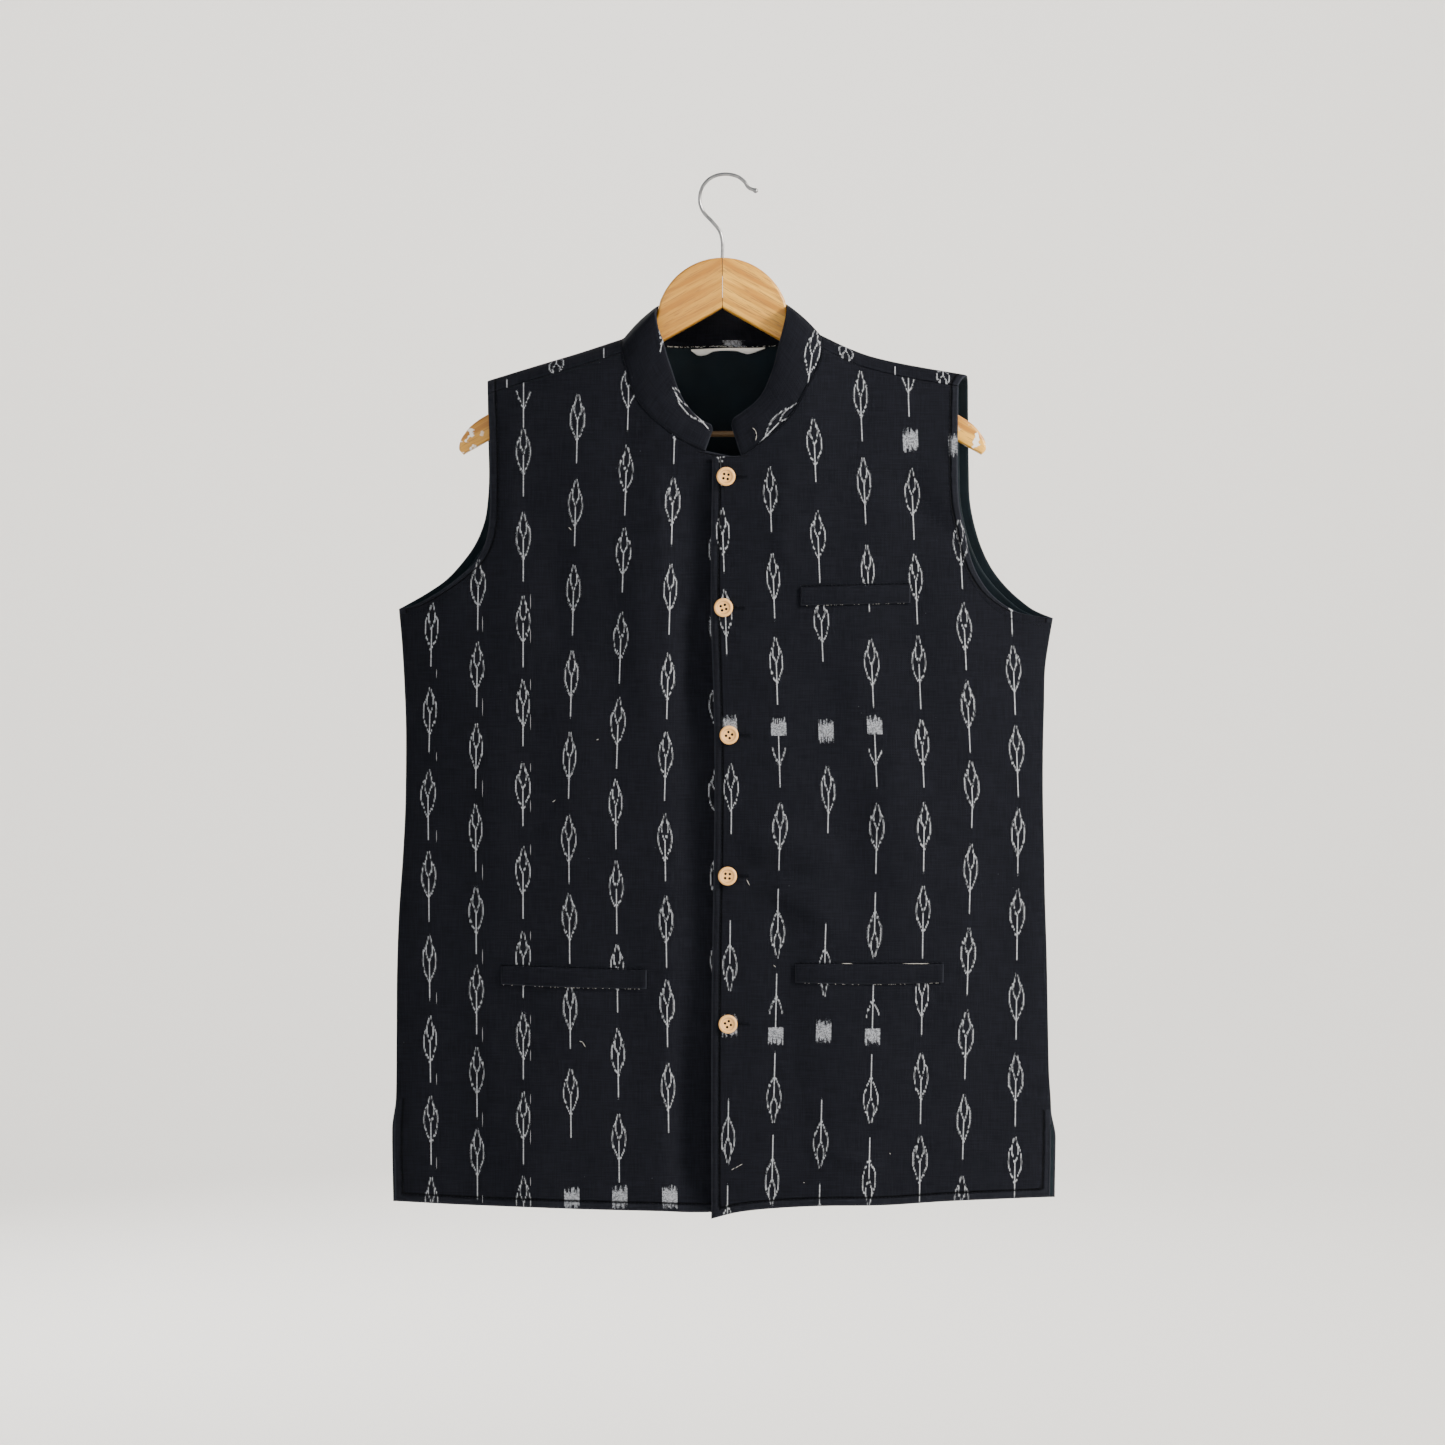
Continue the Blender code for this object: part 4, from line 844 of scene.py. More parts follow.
# columns at a fixed share of the half width, rows from the shoulder seam over the ridge and
# down to the hem
def backGrid(inset, thick):
    parts = []
    for side, sign in signOf.items():
        reach = sidePart(side, "ridge")[0][0]
        end = sidePart(side, "shoulder")[0]
        share = 1 - (1 - np.linspace(0, 1, backRows["armColumns"] + 1)) ** backRows["crowding"]
        shoulder = sign * lerp(reach, end, share)[::-1] / end
        turn = math.pi / 2 * np.arange(1, backRows["neckColumns"] + 1) / backRows["neckColumns"]
        neckX, neckDown = backNeck(side, turn)
        columnShare = np.concatenate([shoulder, neckX / end])
        topTravel = np.concatenate([np.full(len(shoulder), seamTravel() + seamPart), neckDown])
        seamX, ridgeX = sidePart(side, "shoulder")
        armPoints = [(sign * seamX, seamTravel() + seamPart), (sign * ridgeX, 0.0)]
        for armX, armZ in sidePart(side, "armBack"):
            armPoints.append((sign * armX, float(travelAt("back", np.array(sign * armX), armZ))))
        armhole = route(armPoints)
        part = (1 - np.cos(math.pi * np.arange(backRows["arm"] + 1) / backRows["arm"])) / 2
        edge = armhole(part)
        armX = np.abs(columnShare)[None, :] * edge[:, :1]
        heights = skirtHeights(side, backRows["skirt"])
        low = travelAt("back", armX, heights[0])
        down = (edge[:, 1:] - seamTravel()) / (armPoints[-1][1] - seamTravel())
        armTravel = lerp(topTravel[None, :], low, down)
        width = halfWidth(side, heights[1:])
        skirtX = columnShare[None, :] * width[:, None]
        stepShare = np.arange(1, backRows["skirt"] + 1)[:, None] / backRows["skirt"]
        skirtTravel = travelAt("back", skirtX, lerp(heights[0], curves["hemBack"](skirtX), stepShare))
        x = np.concatenate([armX, skirtX])
        travel = np.concatenate([armTravel, skirtTravel])
        out = surfaceNormal("back", x, travel)
        outer = surface("back", x, travel) - out * inset
        inner = outer - out * thick
        seam = slice(backRows["arm"], None)
        z = outer[seam, 0, 2]
        peek = sidePart(side, "peek") * ease(0, form["ventFade"], sidePart(side, "vent") - z)
        outer[seam, 0, 0] = x[seam, 0] + sign * peek
        outer[seam, 0, 1] = sideOffset(side, z)
        inner[seam, 0] = outer[seam, 0] - np.array([sign * thick, 0, 0])
        armEdge = np.linalg.norm(outer[:, :1] - outer, axis=-1)
        toArm = np.where(np.arange(len(x))[:, None] <= backRows["arm"], armEdge, farOff)
        toHem = outer[..., 2] - curves["hemBack"](x)
        toVent = np.where(outer[..., 2] < sidePart(side, "vent"), armEdge, farOff)
        edgeDistance = np.minimum(np.minimum(toArm, toHem), toVent)
        parts.append((outer, inner, np.stack([x, -travel], -1), edgeDistance))
    left, right = parts
    return [np.concatenate([a, b[:, -2::-1]], axis=1) for a, b in zip(left, right)]


outer, inner, cloth, edge = backGrid(0.0, form["cloth"])
piece = clothWall("back_cloth", outer, inner, cloth, edge, ikatCloth,
                  evenMotifs(xRange=(-262, 270), zRange=(-800, 60), phase=12, seed=5), inside=liningTwill,
                  replaced=("back",), slot="black_cotton")
print("back made")

outer, inner, cloth, edge = backGrid(form["cloth"] + form["liningLift"], form["lining"])
keep = (slice(3, -5), slice(5, -5))  # it stops short of the back's turned edges
piece = clothWall("lining_back_cloth", outer[keep], inner[keep], cloth[keep], edge[keep] + 9, liningTwill,
                  replaced=("lining_back",), slot="dark_lining")
print("lining made")

# Collar
collarForm = {
    "topLeft": [
        (-55.2, -113), (-52.9, -126.8), (-49.1, -137.5), (-45.4, -151.2), (-41.2, -164.3),
        (-37, -177.2), (-31.4, -189), (-22.8, -199.7), (-14.3, -206.2), (-9, -208.6),
        (-7.5, -213.5),
    ],
    "topRight": [
        (53.6, -110), (51.7, -119.3), (47.4, -136.5), (44.5, -149.4), (42, -160),
        (38.2, -170.5), (33.9, -180.4), (26.5, -189.8), (15.2, -198.6), (8.8, -203.2),
        (6.8, -209.5),
    ],
    "backTop": -102.0, "leanFront": 0.8, "leanBack": 0.96, "room": 1.5, "bulge": 1.5,
    "frontSteps": 60, "backSteps": 40, "rows": 22, "tuckDown": 1.0, "tuckIn": 0.6,
}


# rows from the neckline to the top edge, with a slight bulge, leaning in; the wall keeps square
# to the panel at its base and to itself above
def collarGrid():
    bases, normals, tops = [], [], []
    for side, sign in signOf.items():
        panel = "frontRight" if side == "left" else "frontLeft"
        share = np.linspace(1, 0, collarForm["frontSteps"] + 1)
        flat = route(sidePart(side, "neck"))(share)
        travel = travelAt("front", flat[:, 0], flat[:, 1])
        normal = surfaceNormal(panel, flat[:, 0], travel)
        base = surface(panel, flat[:, 0], travel) + normal * lift(panel, flat[:, 0])[:, None]
        top = route(collarForm["top" + side.capitalize()])(share)
        lean = lerp(collarForm["leanBack"], collarForm["leanFront"], np.minimum(4 * share, 1))
        topX = top[:, 0] + sign * collarForm["room"] * (1 - share) ** 2
        top = np.stack([topX, base[:, 1] * lean, top[:, 1]], 1)
        turn = math.pi / 2 * np.arange(1, collarForm["backSteps"] + 1) / collarForm["backSteps"]
        x, travel = backNeck(side, turn)
        backBase = surface("back", x, travel)
        seamTop = collarForm["top" + side.capitalize()][0]
        backTop = np.stack([
            (seamTop[0] + sign * collarForm["room"]) * squared(np.cos(turn)),
            backBase[:, 1] * collarForm["leanBack"],
            lerp(seamTop[1], collarForm["backTop"], squared(np.sin(turn))),
        ], 1)
        bases.append(np.concatenate([base, backBase]))
        normals.append(np.concatenate([normal, surfaceNormal("back", x, travel)]))
        tops.append(np.concatenate([top, backTop]))
    base, normal, top = (np.concatenate([a[0], a[1][-2::-1]]) for a in (bases, normals, tops))
    inward = toUnit(np.cross(normal, np.gradient(base, axis=0)))
    inward *= np.sign((inward * (top - base)).sum(1, keepdims=True))
    # the base is tucked into the walls of the fronts and the back
    start = base - inward * collarForm["tuckDown"] - normal * collarForm["tuckIn"]
    share = np.linspace(0, 1, collarForm["rows"] + 1)[:, None, None]
    outer = lerp(start[None], top[None], share) + normal[None] * collarForm["bulge"] * np.sin(math.pi * share)
    out = toUnit(np.cross(np.gradient(outer, axis=0), np.gradient(outer, axis=1)))
    out *= np.sign((out * normal[None]).sum(-1, keepdims=True))
    out = toUnit(lerp(normal[None] + 0 * out, out, np.clip(share * 5, 0, 1)))
    inner = outer - out * form["collar"]
    length = runAlong(outer[10])
    height = np.linalg.norm(outer - outer[:1], axis=-1)
    cloth = np.stack([np.broadcast_to(length[None] - length[-1] / 2, height.shape), height], -1)
    toEnd = np.minimum(length, length[-1] - length)[None] + 0 * height
    edge = np.minimum(height.max(axis=0, keepdims=True) - height, toEnd)
    return outer, inner, cloth, edge


outer, inner, cloth, edge = collarGrid()
leafPlaces = [
    (666, 322, 12, -1), (688, 405, -40, -1), (812, 352, 8, -1), (780, 421, 44, -1),
]
collarMotifs = [
    {"x": np.full(3, photoX(px)), "z": float(photoZ(py)), "kind": "up", "turn": turn, "stalk": 1.2,
     "side": side}
    for px, py, turn, side in leafPlaces
]
collarMotifs.append({"x": np.full(3, photoX(733)), "z": float(photoZ(347)), "kind": "block", "turn": 90,
                     "stalk": 1.0, "side": 1, "inner": True})
piece = clothWall("collar_cloth", outer, inner, cloth, edge, collarCloth, collarMotifs, plan=outer,
                  replaced=("collar",), slot="black_cotton", rim=0.45)
print("collar made")

# Welts
welts = {
    "welt_chest": {"panel": "frontLeft", "near": (65.6, -345.0), "far": (157.6, -342.7), "sag": 0.0},
    "welt_left": {"panel": "frontLeft", "near": (61.3, -661.6), "far": (185.6, -661.6), "sag": 1.6},
    "welt_right": {"panel": "frontRight", "near": (-63.6, -667.0), "far": (-186.0, -663.3), "sag": 0.8},
}
weltForm = {"height": 15.8, "wall": 1.2, "lift": 0.8, "sink": 0.25, "pillow": 0.5, "columns": 60, "rows": 10}
for name, spec in welts.items():
    share = np.linspace(0, 1, weltForm["columns"] + 1)[None, :]
    down = np.linspace(0, 1, weltForm["rows"] + 1)[:, None]
    x = lerp(spec["near"][0], spec["far"][0], share) + 0 * down
    z = lerp(spec["near"][1], spec["far"][1], share) - weltForm["height"] * down
    z = z - spec["sag"] * down * np.sin(math.pi * share)
    pillow = weltForm["pillow"] * np.sin(math.pi * down) * np.ones_like(share)
    outer = onFront(spec["panel"], x, z, weltForm["lift"] + weltForm["wall"] + pillow)
    inner = onFront(spec["panel"], x, z, weltForm["sink"])
    wide = abs(spec["far"][0] - spec["near"][0])
    edge = np.minimum((1 - down) * weltForm["height"] + 0.4, np.minimum(share, 1 - share) * wide + 0.4)
    piece = clothWall(name + "_cloth", outer, inner, np.stack([x, z], -1), edge, plainCloth,
                      replaced=(name,), slot="black_cotton", rim=0.5)
print("welts made")

# Label: a bare band of off-white woven cotton
labelForm = {"half": 31.5, "x": 4.6, "lobe": 6.0, "waist": 3.0, "tip": 1.2, "wall": 0.8}
labelCotton, tree, principled = newMaterial("bare_label_cotton", Roughness=0.8)
cloth = add(tree, "ShaderNodeUVMap", uv_map="cloth")
mottle = add(tree, "ShaderNodeTexNoise", {"Vector": cloth, "Scale": 0.5, "Detail": 3.0})
mixed = add(tree, "ShaderNodeMix", {0: mottle, 6: colour("#f6f5f1"), 7: colour("#ffffff")}, data_type="RGBA")
tree.links.new(mixed.outputs[2], principled.inputs["Base Color"])
fine = add(tree, "ShaderNodeTexWave", {"Vector": cloth, "Scale": 1.2}, bands_direction="Y")
bump = add(tree, "ShaderNodeBump", {"Height": fine, "Distance": 0.0002, "Strength": 0.5})
tree.links.new(bump.outputs[0], principled.inputs["Normal"])
across = np.linspace(-1, 1, 61)[None, :]
down = np.linspace(0, 1, 13)[:, None]
x = labelForm["x"] + labelForm["half"] * across + 0 * down
tall = curveThrough([
    (-1.0, labelForm["tip"]), (-0.82, labelForm["lobe"]), (-0.60, labelForm["lobe"]),
    (-0.38, labelForm["waist"]), (0.22, labelForm["waist"]), (0.40, labelForm["lobe"] * 0.8),
    (0.56, labelForm["lobe"]), (1.0, labelForm["tip"]),
])(across)
travel = neckTravel(x) + lerp(1.2, -0.3, (across + 1) / 2) + tall * down
out = surfaceNormal("back", x, travel)
depth = form["cloth"] + form["liningLift"] + form["lining"] + form["labelLift"]
belly = 0.8 * np.sin(math.pi * down)[..., None] * np.ones_like(x)[..., None]
outer = surface("back", x, travel) - out * (depth + belly)
piece = clothWall("neck_label_band", outer, outer - out * labelForm["wall"], np.stack([x, -travel], -1),
                  np.full(x.shape, 50.0), labelCotton, replaced=("neck_label",), slot="label_cotton")
print("label made")


# Threads. A stitch is a short bent capsule: centre + radius * (cos * side + sin * up), where the centre
# bows by a sine of its share and the radius falls off at both ends
def stitchMesh(name, starts, ends, ups, radius, material, arch=0.0, slot="black_cotton", sides=6, rings=5):
    starts, ends, ups = (np.asarray(a, float) for a in (starts, ends, ups))
    count = len(starts)
    along = ends - starts
    run = toUnit(along)
    side = toUnit(np.cross(run, ups))
    up = np.cross(side, run)
    t = np.linspace(0, 1, rings)
    thick = radius * np.sqrt(np.clip(1 - (np.abs(2 * t - 1)) ** 3.5, 0.04, 1))
    bow = arch * np.sin(math.pi * t)
    angle = math.tau * np.arange(sides) / sides
    centre = starts[:, None] + along[:, None] * t[None, :, None] + up[:, None] * bow[None, :, None]
    ring = (np.cos(angle)[None, None, :, None] * side[:, None, None]
            + np.sin(angle)[None, None, :, None] * up[:, None, None]) * thick[None, :, None, None]
    points = (centre[:, :, None] + ring).reshape(-1, 3)
    index, tube = tubeFaces(rings, sides)
    shift = np.arange(count) * rings * sides
    faces = (tube[None] + shift[:, None, None]).reshape(-1, 4).tolist()
    for cap in (index[0], index[-1, ::-1]):
        faces += (cap[None] + shift[:, None]).tolist()
    return newPiece(name, points * mm, faces, material, slot=slot)


# a bundle is its stitches' starts, ends and ways out of the cloth; the bundles make one piece
def stitchBundles(name, bundles, radius, material, **about):
    starts, ends, ups = (np.concatenate(part) for part in zip(*bundles))
    return stitchMesh(name, starts, ends, ups, radius, material, **about)


# stitches along a line of points, each with the way out of the cloth there
def stitchRow(name, line, normals, material, length=2.5, gap=0.7, radius=0.28):
    run = runAlong(line)
    begin = np.arange(gap, run[-1] - length, length + gap)

    def at(values, where):
        return np.stack([np.interp(where, run, values[:, k]) for k in range(3)], axis=1)

    up = at(normals, begin + length / 2)
    starts, ends = at(line, begin), at(line, begin + length)
    return stitchMesh(name, starts, ends, up, radius, material, arch=0.18)


# Sewing thread: black spun cotton, dull, with a fine twist. It also colours the painted shadow lines at the
# pockets and under the collar
sewingThread, tree, principled = newMaterial(
    "black_sewing_thread", Roughness=0.85, **{"Specular IOR Level": 0.06})
place = add(tree, "ShaderNodeTexCoord")
twist = add(tree, "ShaderNodeTexWave", {"Vector": place.outputs["Object"], "Scale": 900.0},
            bands_direction="DIAGONAL")
mixed = add(tree, "ShaderNodeMix", {0: twist, 6: colour("#090b10"), 7: colour("#13161d")}, data_type="RGBA")
tree.links.new(mixed.outputs[2], principled.inputs["Base Color"])


# a line on a front in real millimetres, after the camera's ray, and the way out of the cloth along it
def frontLine(panel, x, z, out=0.1):
    x, z = np.asarray(x, float), np.asarray(z, float)
    return real(onFront(panel, x, z, out)) / mm, surfaceNormal(panel, x, travelAt("front", x, z))


# a bundle of one thread on a front, between two pixels of the photo
def frontBit(panel, startPixel, endPixel, out):
    start, _ = frontLine(panel, photoX(startPixel[:1]), photoZ(startPixel[1:]), out)
    end, away = frontLine(panel, photoX(endPixel[:1]), photoZ(endPixel[1:]), out)
    return start, end, away


def inwardOffset(points, distance, towards):
    step = np.gradient(points, axis=0)
    side = toUnit(np.stack([-step[:, 1], step[:, 0]], 1))
    side *= np.sign((side * (np.array(towards) - points)).sum(1, keepdims=True))
    return points + side * distance


stitchForm = {"placketEnd": -874.0, "ventEnd": -858.0, "reach": 275.5, "underlap": -14.0, "backReach": 268.0}
z = np.linspace(form["overlapTop"] - 3, stitchForm["placketEnd"] + stitchIn, 260)
stitchRow("stitches_placket", *frontLine("frontLeft", curves["overlapEdge"](z) + stitchIn, z), sewingThread)
for panel, side in (("frontRight", "left"), ("frontLeft", "right")):
    sign = signOf[side]
    inner = curves["overlapEdge"](np.array([-870.0]))[0] if sign > 0 else stitchForm["underlap"]
    x = np.linspace(inner + sign * stitchIn, sign * (stitchForm["reach"] - stitchIn), 200)
    stitchRow(f"stitches_hem_{side}", *frontLine(panel, x, hemOf[panel](x) + stitchIn), sewingThread)
    flat = route([(sign * a, b) for a, b in sidePart(side, "armFront")])(np.linspace(0.01, 0.97, 160))
    flat = inwardOffset(flat, stitchIn + 0.8, (0.0, -500.0))
    stitchRow(f"stitches_armhole_{side}", *frontLine(panel, flat[:, 0], flat[:, 1]), sewingThread)
    z = np.linspace(sidePart(side, "vent"), stitchForm["ventEnd"] + stitchIn, 60)
    x = sign * (halfWidth(side, z) - stitchIn)
    stitchRow(f"stitches_vent_{side}", *frontLine(panel, x, z), sewingThread)
x = np.linspace(-stitchForm["backReach"], stitchForm["backReach"], 300)
travel = travelAt("back", x, curves["hemBack"](x) + stitchIn)
away = surfaceNormal("back", x, travel)
stitchRow("stitches_hem_back", real(surface("back", x, travel) + away * 0.1) / mm, away, sewingThread)
print("topstitching made")

# Frayed and loose bits of undyed thread: along the seam inside the back of the collar, along the
# welts' edges, and caught on the cloth. Undyed cotton, carded and spun.
undyedThread, tree, principled = newMaterial("undyed_cotton_thread", Roughness=0.8)
principled.inputs["Base Color"].default_value = colour("#b9b9b4")
frayForm = {
    "neck": (-47.0, 45.5), "neckCount": 64, "edgeCount": 26, "radius": 0.2,
    "topBits": [("welt_left", 0.31, 0.38), ("welt_left", 0.72, 0.90)],
    "caught": [
        ("frontLeft", 746, 879, 749, 885), ("frontLeft", 863, 982, 865, 978),
        ("frontRight", 552, 802, 555, 800), ("frontRight", 568, 527, 571, 530),
        ("frontLeft", 773, 965, 775, 967), ("frontRight", 596, 740, 598, 739),
        ("frontLeft", 731, 1170, 734, 1168), ("frontLeft", 735, 1168, 738, 1166),
        ("frontLeft", 738, 1166, 742, 1164), ("frontLeft", 803, 1182, 804, 1183),
        ("frontLeft", 889, 1153, 890, 1154), ("frontLeft", 752, 428, 755, 431),
        ("frontLeft", 755, 431, 756, 435), ("frontLeft", 756, 435, 755, 441),
        ("frontRight", 579, 1041, 582, 1042), ("frontRight", 582, 1042, 585, 1047),
    ],
}
chance = np.random.default_rng(21)
x = lerp(*frayForm["neck"], chance.uniform(0, 1, frayForm["neckCount"]) ** 1.6)
bits = []
for end in (0, 1):
    alongX = x + end * chance.uniform(0.6, 2.6, len(x))
    travel = neckTravel(alongX) - chance.uniform(0.0, 1.1, len(x))
    away = surfaceNormal("back", alongX, travel)
    bits.append(real(surface("back", alongX, travel) - away * (form["collar"] + 0.7)) / mm)
frayed = [(*bits, -away)]
for name, spec in welts.items():
    share = np.sort(chance.uniform(0.0, 1.0, frayForm["edgeCount"]))
    long = chance.uniform(0.5, 1.5, len(share)) / 120
    ends = [(share, share + long, weltForm["height"] + 0.1)]
    ends += [(np.array([a]), np.array([b]), -0.1) for welt, a, b in frayForm["topBits"] if welt == name]
    for first, last, drop in ends:
        bits = []
        for part in (np.minimum(first, 1.0), np.minimum(last, 1.0)):
            x = lerp(spec["near"][0], spec["far"][0], part)
            z = lerp(spec["near"][1], spec["far"][1], part) - drop
            z = z - (spec["sag"] * np.sin(math.pi * part) if drop > 0 else 0.0)
            flat, away = frontLine(spec["panel"], x, z, 1.0 if drop > 0 else 2.2)
            bits.append(flat)
        frayed.append((*bits, away))
frayed += [frontBit(panel, ends[:2], ends[2:], 0.2) for panel, *ends in frayForm["caught"]]
stitchBundles("frayed_threads", frayed, frayForm["radius"], undyedThread, arch=0.1)

# warp threads that slipped from the pattern and float in short lengths beside two columns of leaves
slippedForm = {
    "radius": 0.2,
    436: ((669, 678), (752, 761), (830, 842), (992, 1004), (1073, 1085), (1157, 1169)),
    482: ((616, 632), (698, 716), (780, 797), (864, 880), (949, 964), (1027, 1042), (1112, 1127),
          (1195, 1203)),
    530: ((528, 542), (594, 609), (629, 643), (679, 690), (714, 730), (763, 772), (800, 812), (844, 855),
          (931, 940), (1015, 1024), (1050, 1061), (1094, 1104), (1130, 1144), (1177, 1186)),
}
slippedThread, tree, principled = newMaterial("slipped_grey_thread", Roughness=0.85)
principled.inputs["Base Color"].default_value = colour("#878b92")
slipped = [frontBit("frontRight", (px, top), (px, bottom), 0.05)
           for px in (436, 482, 530) for top, bottom in slippedForm[px]]
stitchBundles("slipped_threads", slipped, slippedForm["radius"], slippedThread)

# painted shadow: a dark line above each welt stands for the shade in the pocket's mouth
paintedShadowLines = []
for name, spec in welts.items():
    share = np.linspace(0.0, 1.0, 31)
    x = lerp(spec["near"][0], spec["far"][0], share)
    line, away = frontLine(spec["panel"], x, lerp(spec["near"][1], spec["far"][1], share) + 0.7, 0.15)
    paintedShadowLines.append((line[:-1], line[1:], away[:-1]))
# painted shadow: a dark line along the seam under the collar stands for the shade in its groove
for panel, side in (("frontRight", "left"), ("frontLeft", "right")):
    flat = route(sidePart(side, "neck"))(np.linspace(0.0, 1.0, 71))
    line, away = frontLine(panel, flat[:, 0], flat[:, 1], 0.0)
    paintedShadowLines.append((line[:-1], line[1:], away[:-1]))
stitchBundles("painted_shadow_lines", paintedShadowLines, 0.6, sewingThread)
print("loose threads made")

# Buttons: turned pale wood with a raised rim and four holes, with dark thread down in the holes
buttonForm = {
    "places": [(2.9, -252.4, 10), (0.8, -362.5, -18), (5.5, -469.6, 34), (4.2, -588.0, 4),
               (4.6, -712.3, -30)],
    "profile": [(0.01, 1.7), (2.6, 1.68), (4.3, 1.78), (5.1, 2.2), (5.7, 2.62), (6.4, 2.75), (7.1, 2.55),
                (7.6, 2.1), (7.75, 1.6), (7.6, 0.9), (7.1, 0.3), (6.3, 0.05), (0.01, 0.0)],
    "steps": 72, "hole": 1.15, "offset": 1.8, "groove": 5.1, "grooveHalf": 0.7,
}
buttonWood, tree, principled = newMaterial("turned_button_wood", Roughness=0.5, **{"Coat Weight": 0.1,
                                           "Coat Roughness": 0.3})
place = add(tree, "ShaderNodeTexCoord")
turned = add(tree, "ShaderNodeMapping", {"Vector": place.outputs["Object"], "Rotation": (0.0, 0.5, 0.2),
                                         "Scale": (260.0, 260.0, 1500.0)})
grain = add(tree, "ShaderNodeTexNoise", {"Vector": turned, "Scale": 1.0, "Detail": 4.0, "Distortion": 0.4})
mixed = add(tree, "ShaderNodeMix", {0: grain, 6: colour("#dc9f56"), 7: colour("#f2c17a")}, data_type="RGBA")
# the ring on the slope inside the rim is a darker brown
radius = add(tree, "ShaderNodeAttribute", attribute_name="radius")
away = add(tree, "ShaderNodeMath", {0: radius.outputs["Fac"], 1: buttonForm["groove"]}, operation="SUBTRACT")
away = add(tree, "ShaderNodeMath", {0: away}, operation="ABSOLUTE")
rimRingDark = add(tree, "ShaderNodeMapRange", threshold(away, 0.1, buttonForm["grooveHalf"]))
rimRingDark = add(tree, "ShaderNodeMath", {0: rimRingDark, 1: 0.5}, operation="MULTIPLY")
mixed = add(tree, "ShaderNodeMix", {0: rimRingDark, 6: mixed.outputs[2], 7: colour("#8f5f30")}, data_type="RGBA")
tree.links.new(mixed.outputs[2], principled.inputs["Base Color"])
bump = add(tree, "ShaderNodeBump", {"Height": grain, "Distance": 0.0002, "Strength": 0.4})
tree.links.new(bump.outputs[0], principled.inputs["Normal"])


# profile turned about z: (radius * cos, radius * sin, height), closed at both ends, or a bowl seen from
# inside that is closed at its foot
def turnedMesh(name, profile, steps, unit=mm, isBowl=False):
    profile = np.array(profile)
    angle = math.tau * np.arange(steps) / steps
    points = np.stack([
        profile[:, :1] * np.cos(angle), profile[:, :1] * np.sin(angle),
        np.broadcast_to(profile[:, 1:], (len(profile), steps)),
    ], -1)
    index, faces = tubeFaces(len(profile), steps)
    faces = faces.tolist() + [index[0].tolist(), index[-1, ::-1].tolist()]
    if isBowl:
        faces = [face[:1] + face[:0:-1] for face in faces[:-1]]
    mesh = bpy.data.meshes.new(name)
    mesh.from_pydata(points.reshape(-1, 3) * unit, [], faces)
    return mesh


blank = bpy.data.objects.new("blank", turnedMesh("blank", buttonForm["profile"], buttonForm["steps"]))
drill = bpy.data.objects.new("drill", bpy.data.meshes.new("drill"))
bores = bmesh.new()
for a in (-1, 1):
    for b in (-1, 1):
        made = bmesh.ops.create_cone(bores, cap_ends=True, segments=20, radius1=buttonForm["hole"] * mm,
                                     radius2=buttonForm["hole"] * mm, depth=0.01)
        bmesh.ops.translate(bores, verts=made["verts"],
                            vec=(a * buttonForm["offset"] * mm, b * buttonForm["offset"] * mm, 0))
bores.to_mesh(drill.data)
bores.free()
for helper in (blank, drill):
    bpy.context.scene.collection.objects.link(helper)
cut = blank.modifiers.new("holes", "BOOLEAN")
cut.operation = "DIFFERENCE"
cut.object = drill
drilled = bpy.data.meshes.new_from_object(blank.evaluated_get(bpy.context.evaluated_depsgraph_get()))
for helper in (blank, drill):
    bpy.data.objects.remove(helper)
count = len(drilled.vertices)
buttonPoints = np.zeros(count * 3)
drilled.vertices.foreach_get("co", buttonPoints)
buttonPoints = buttonPoints.reshape(-1, 3)
buttonFaces = [tuple(face.vertices) for face in drilled.polygons]
threadStarts, threadEnds, threadUps = [], [], []
for number, (x, z, degrees) in enumerate(buttonForm["places"], start=1):
    low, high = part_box(f"button_{number}")
    middle = np.array([(low.x + high.x) / 2, high.y, (low.z + high.z) / 2])
    turn = math.radians(degrees)
    right = np.array([math.cos(turn), 0, -math.sin(turn)])
    upward = np.array([math.sin(turn), 0, math.cos(turn)])
    points = (middle + buttonPoints[:, :1] * right + buttonPoints[:, 1:2] * upward
              + buttonPoints[:, 2:] * np.array([0, -1.0, 0]))
    piece = newPiece(f"button_{number}_turned", points, buttonFaces, buttonWood,
                     replaced=(f"button_{number}",), slot="button_wood")
    piece.data.set_sharp_from_angle(angle=math.radians(40))
    layer = piece.data.attributes.new("radius", "FLOAT", "POINT")
    fromMiddle = np.hypot(buttonPoints[:, 0], buttonPoints[:, 1]) / mm
    layer.data.foreach_set("value", fromMiddle.astype(np.float32))
    for a, b in ((-1, -1), (-1, 1), (1, -1), (1, 1)):
        hole = (middle + (a * right + b * upward) * buttonForm["offset"] * mm) / mm
        threadStarts.append(hole)
        threadEnds.append(hole + np.array([0, -1.66, 0]))
        threadUps.append((0, 0, 1))
stitchMesh("button_threads", threadStarts, threadEnds, threadUps, 1.1, sewingThread, sides=10)
print("buttons made")

# Buttonholes: a slit closed by two rows of tight stitches and a bar at its far end
holeForm = {"start": -1.0, "end": 17.5, "slit": 0.15, "half": 1.5, "barHalf": 1.7, "pitch": 0.62,
            "radius": 0.3}
worked = []
for x, z, _ in buttonForm["places"]:
    along = np.arange(x + holeForm["start"], x + holeForm["end"], holeForm["pitch"])
    bars = x + holeForm["end"] + np.array([0.0, 0.5])
    for places, low, high, out in (
        (along, holeForm["slit"], holeForm["half"], 0.15),
        (along, -holeForm["slit"], -holeForm["half"], 0.15),
        (bars, -holeForm["barHalf"], holeForm["barHalf"], 0.2),
    ):
        start, away = frontLine("frontLeft", places, np.full_like(places, z + low), out)
        end, _ = frontLine("frontLeft", places, np.full_like(places, z + high), out)
        worked.append((start, end, away))
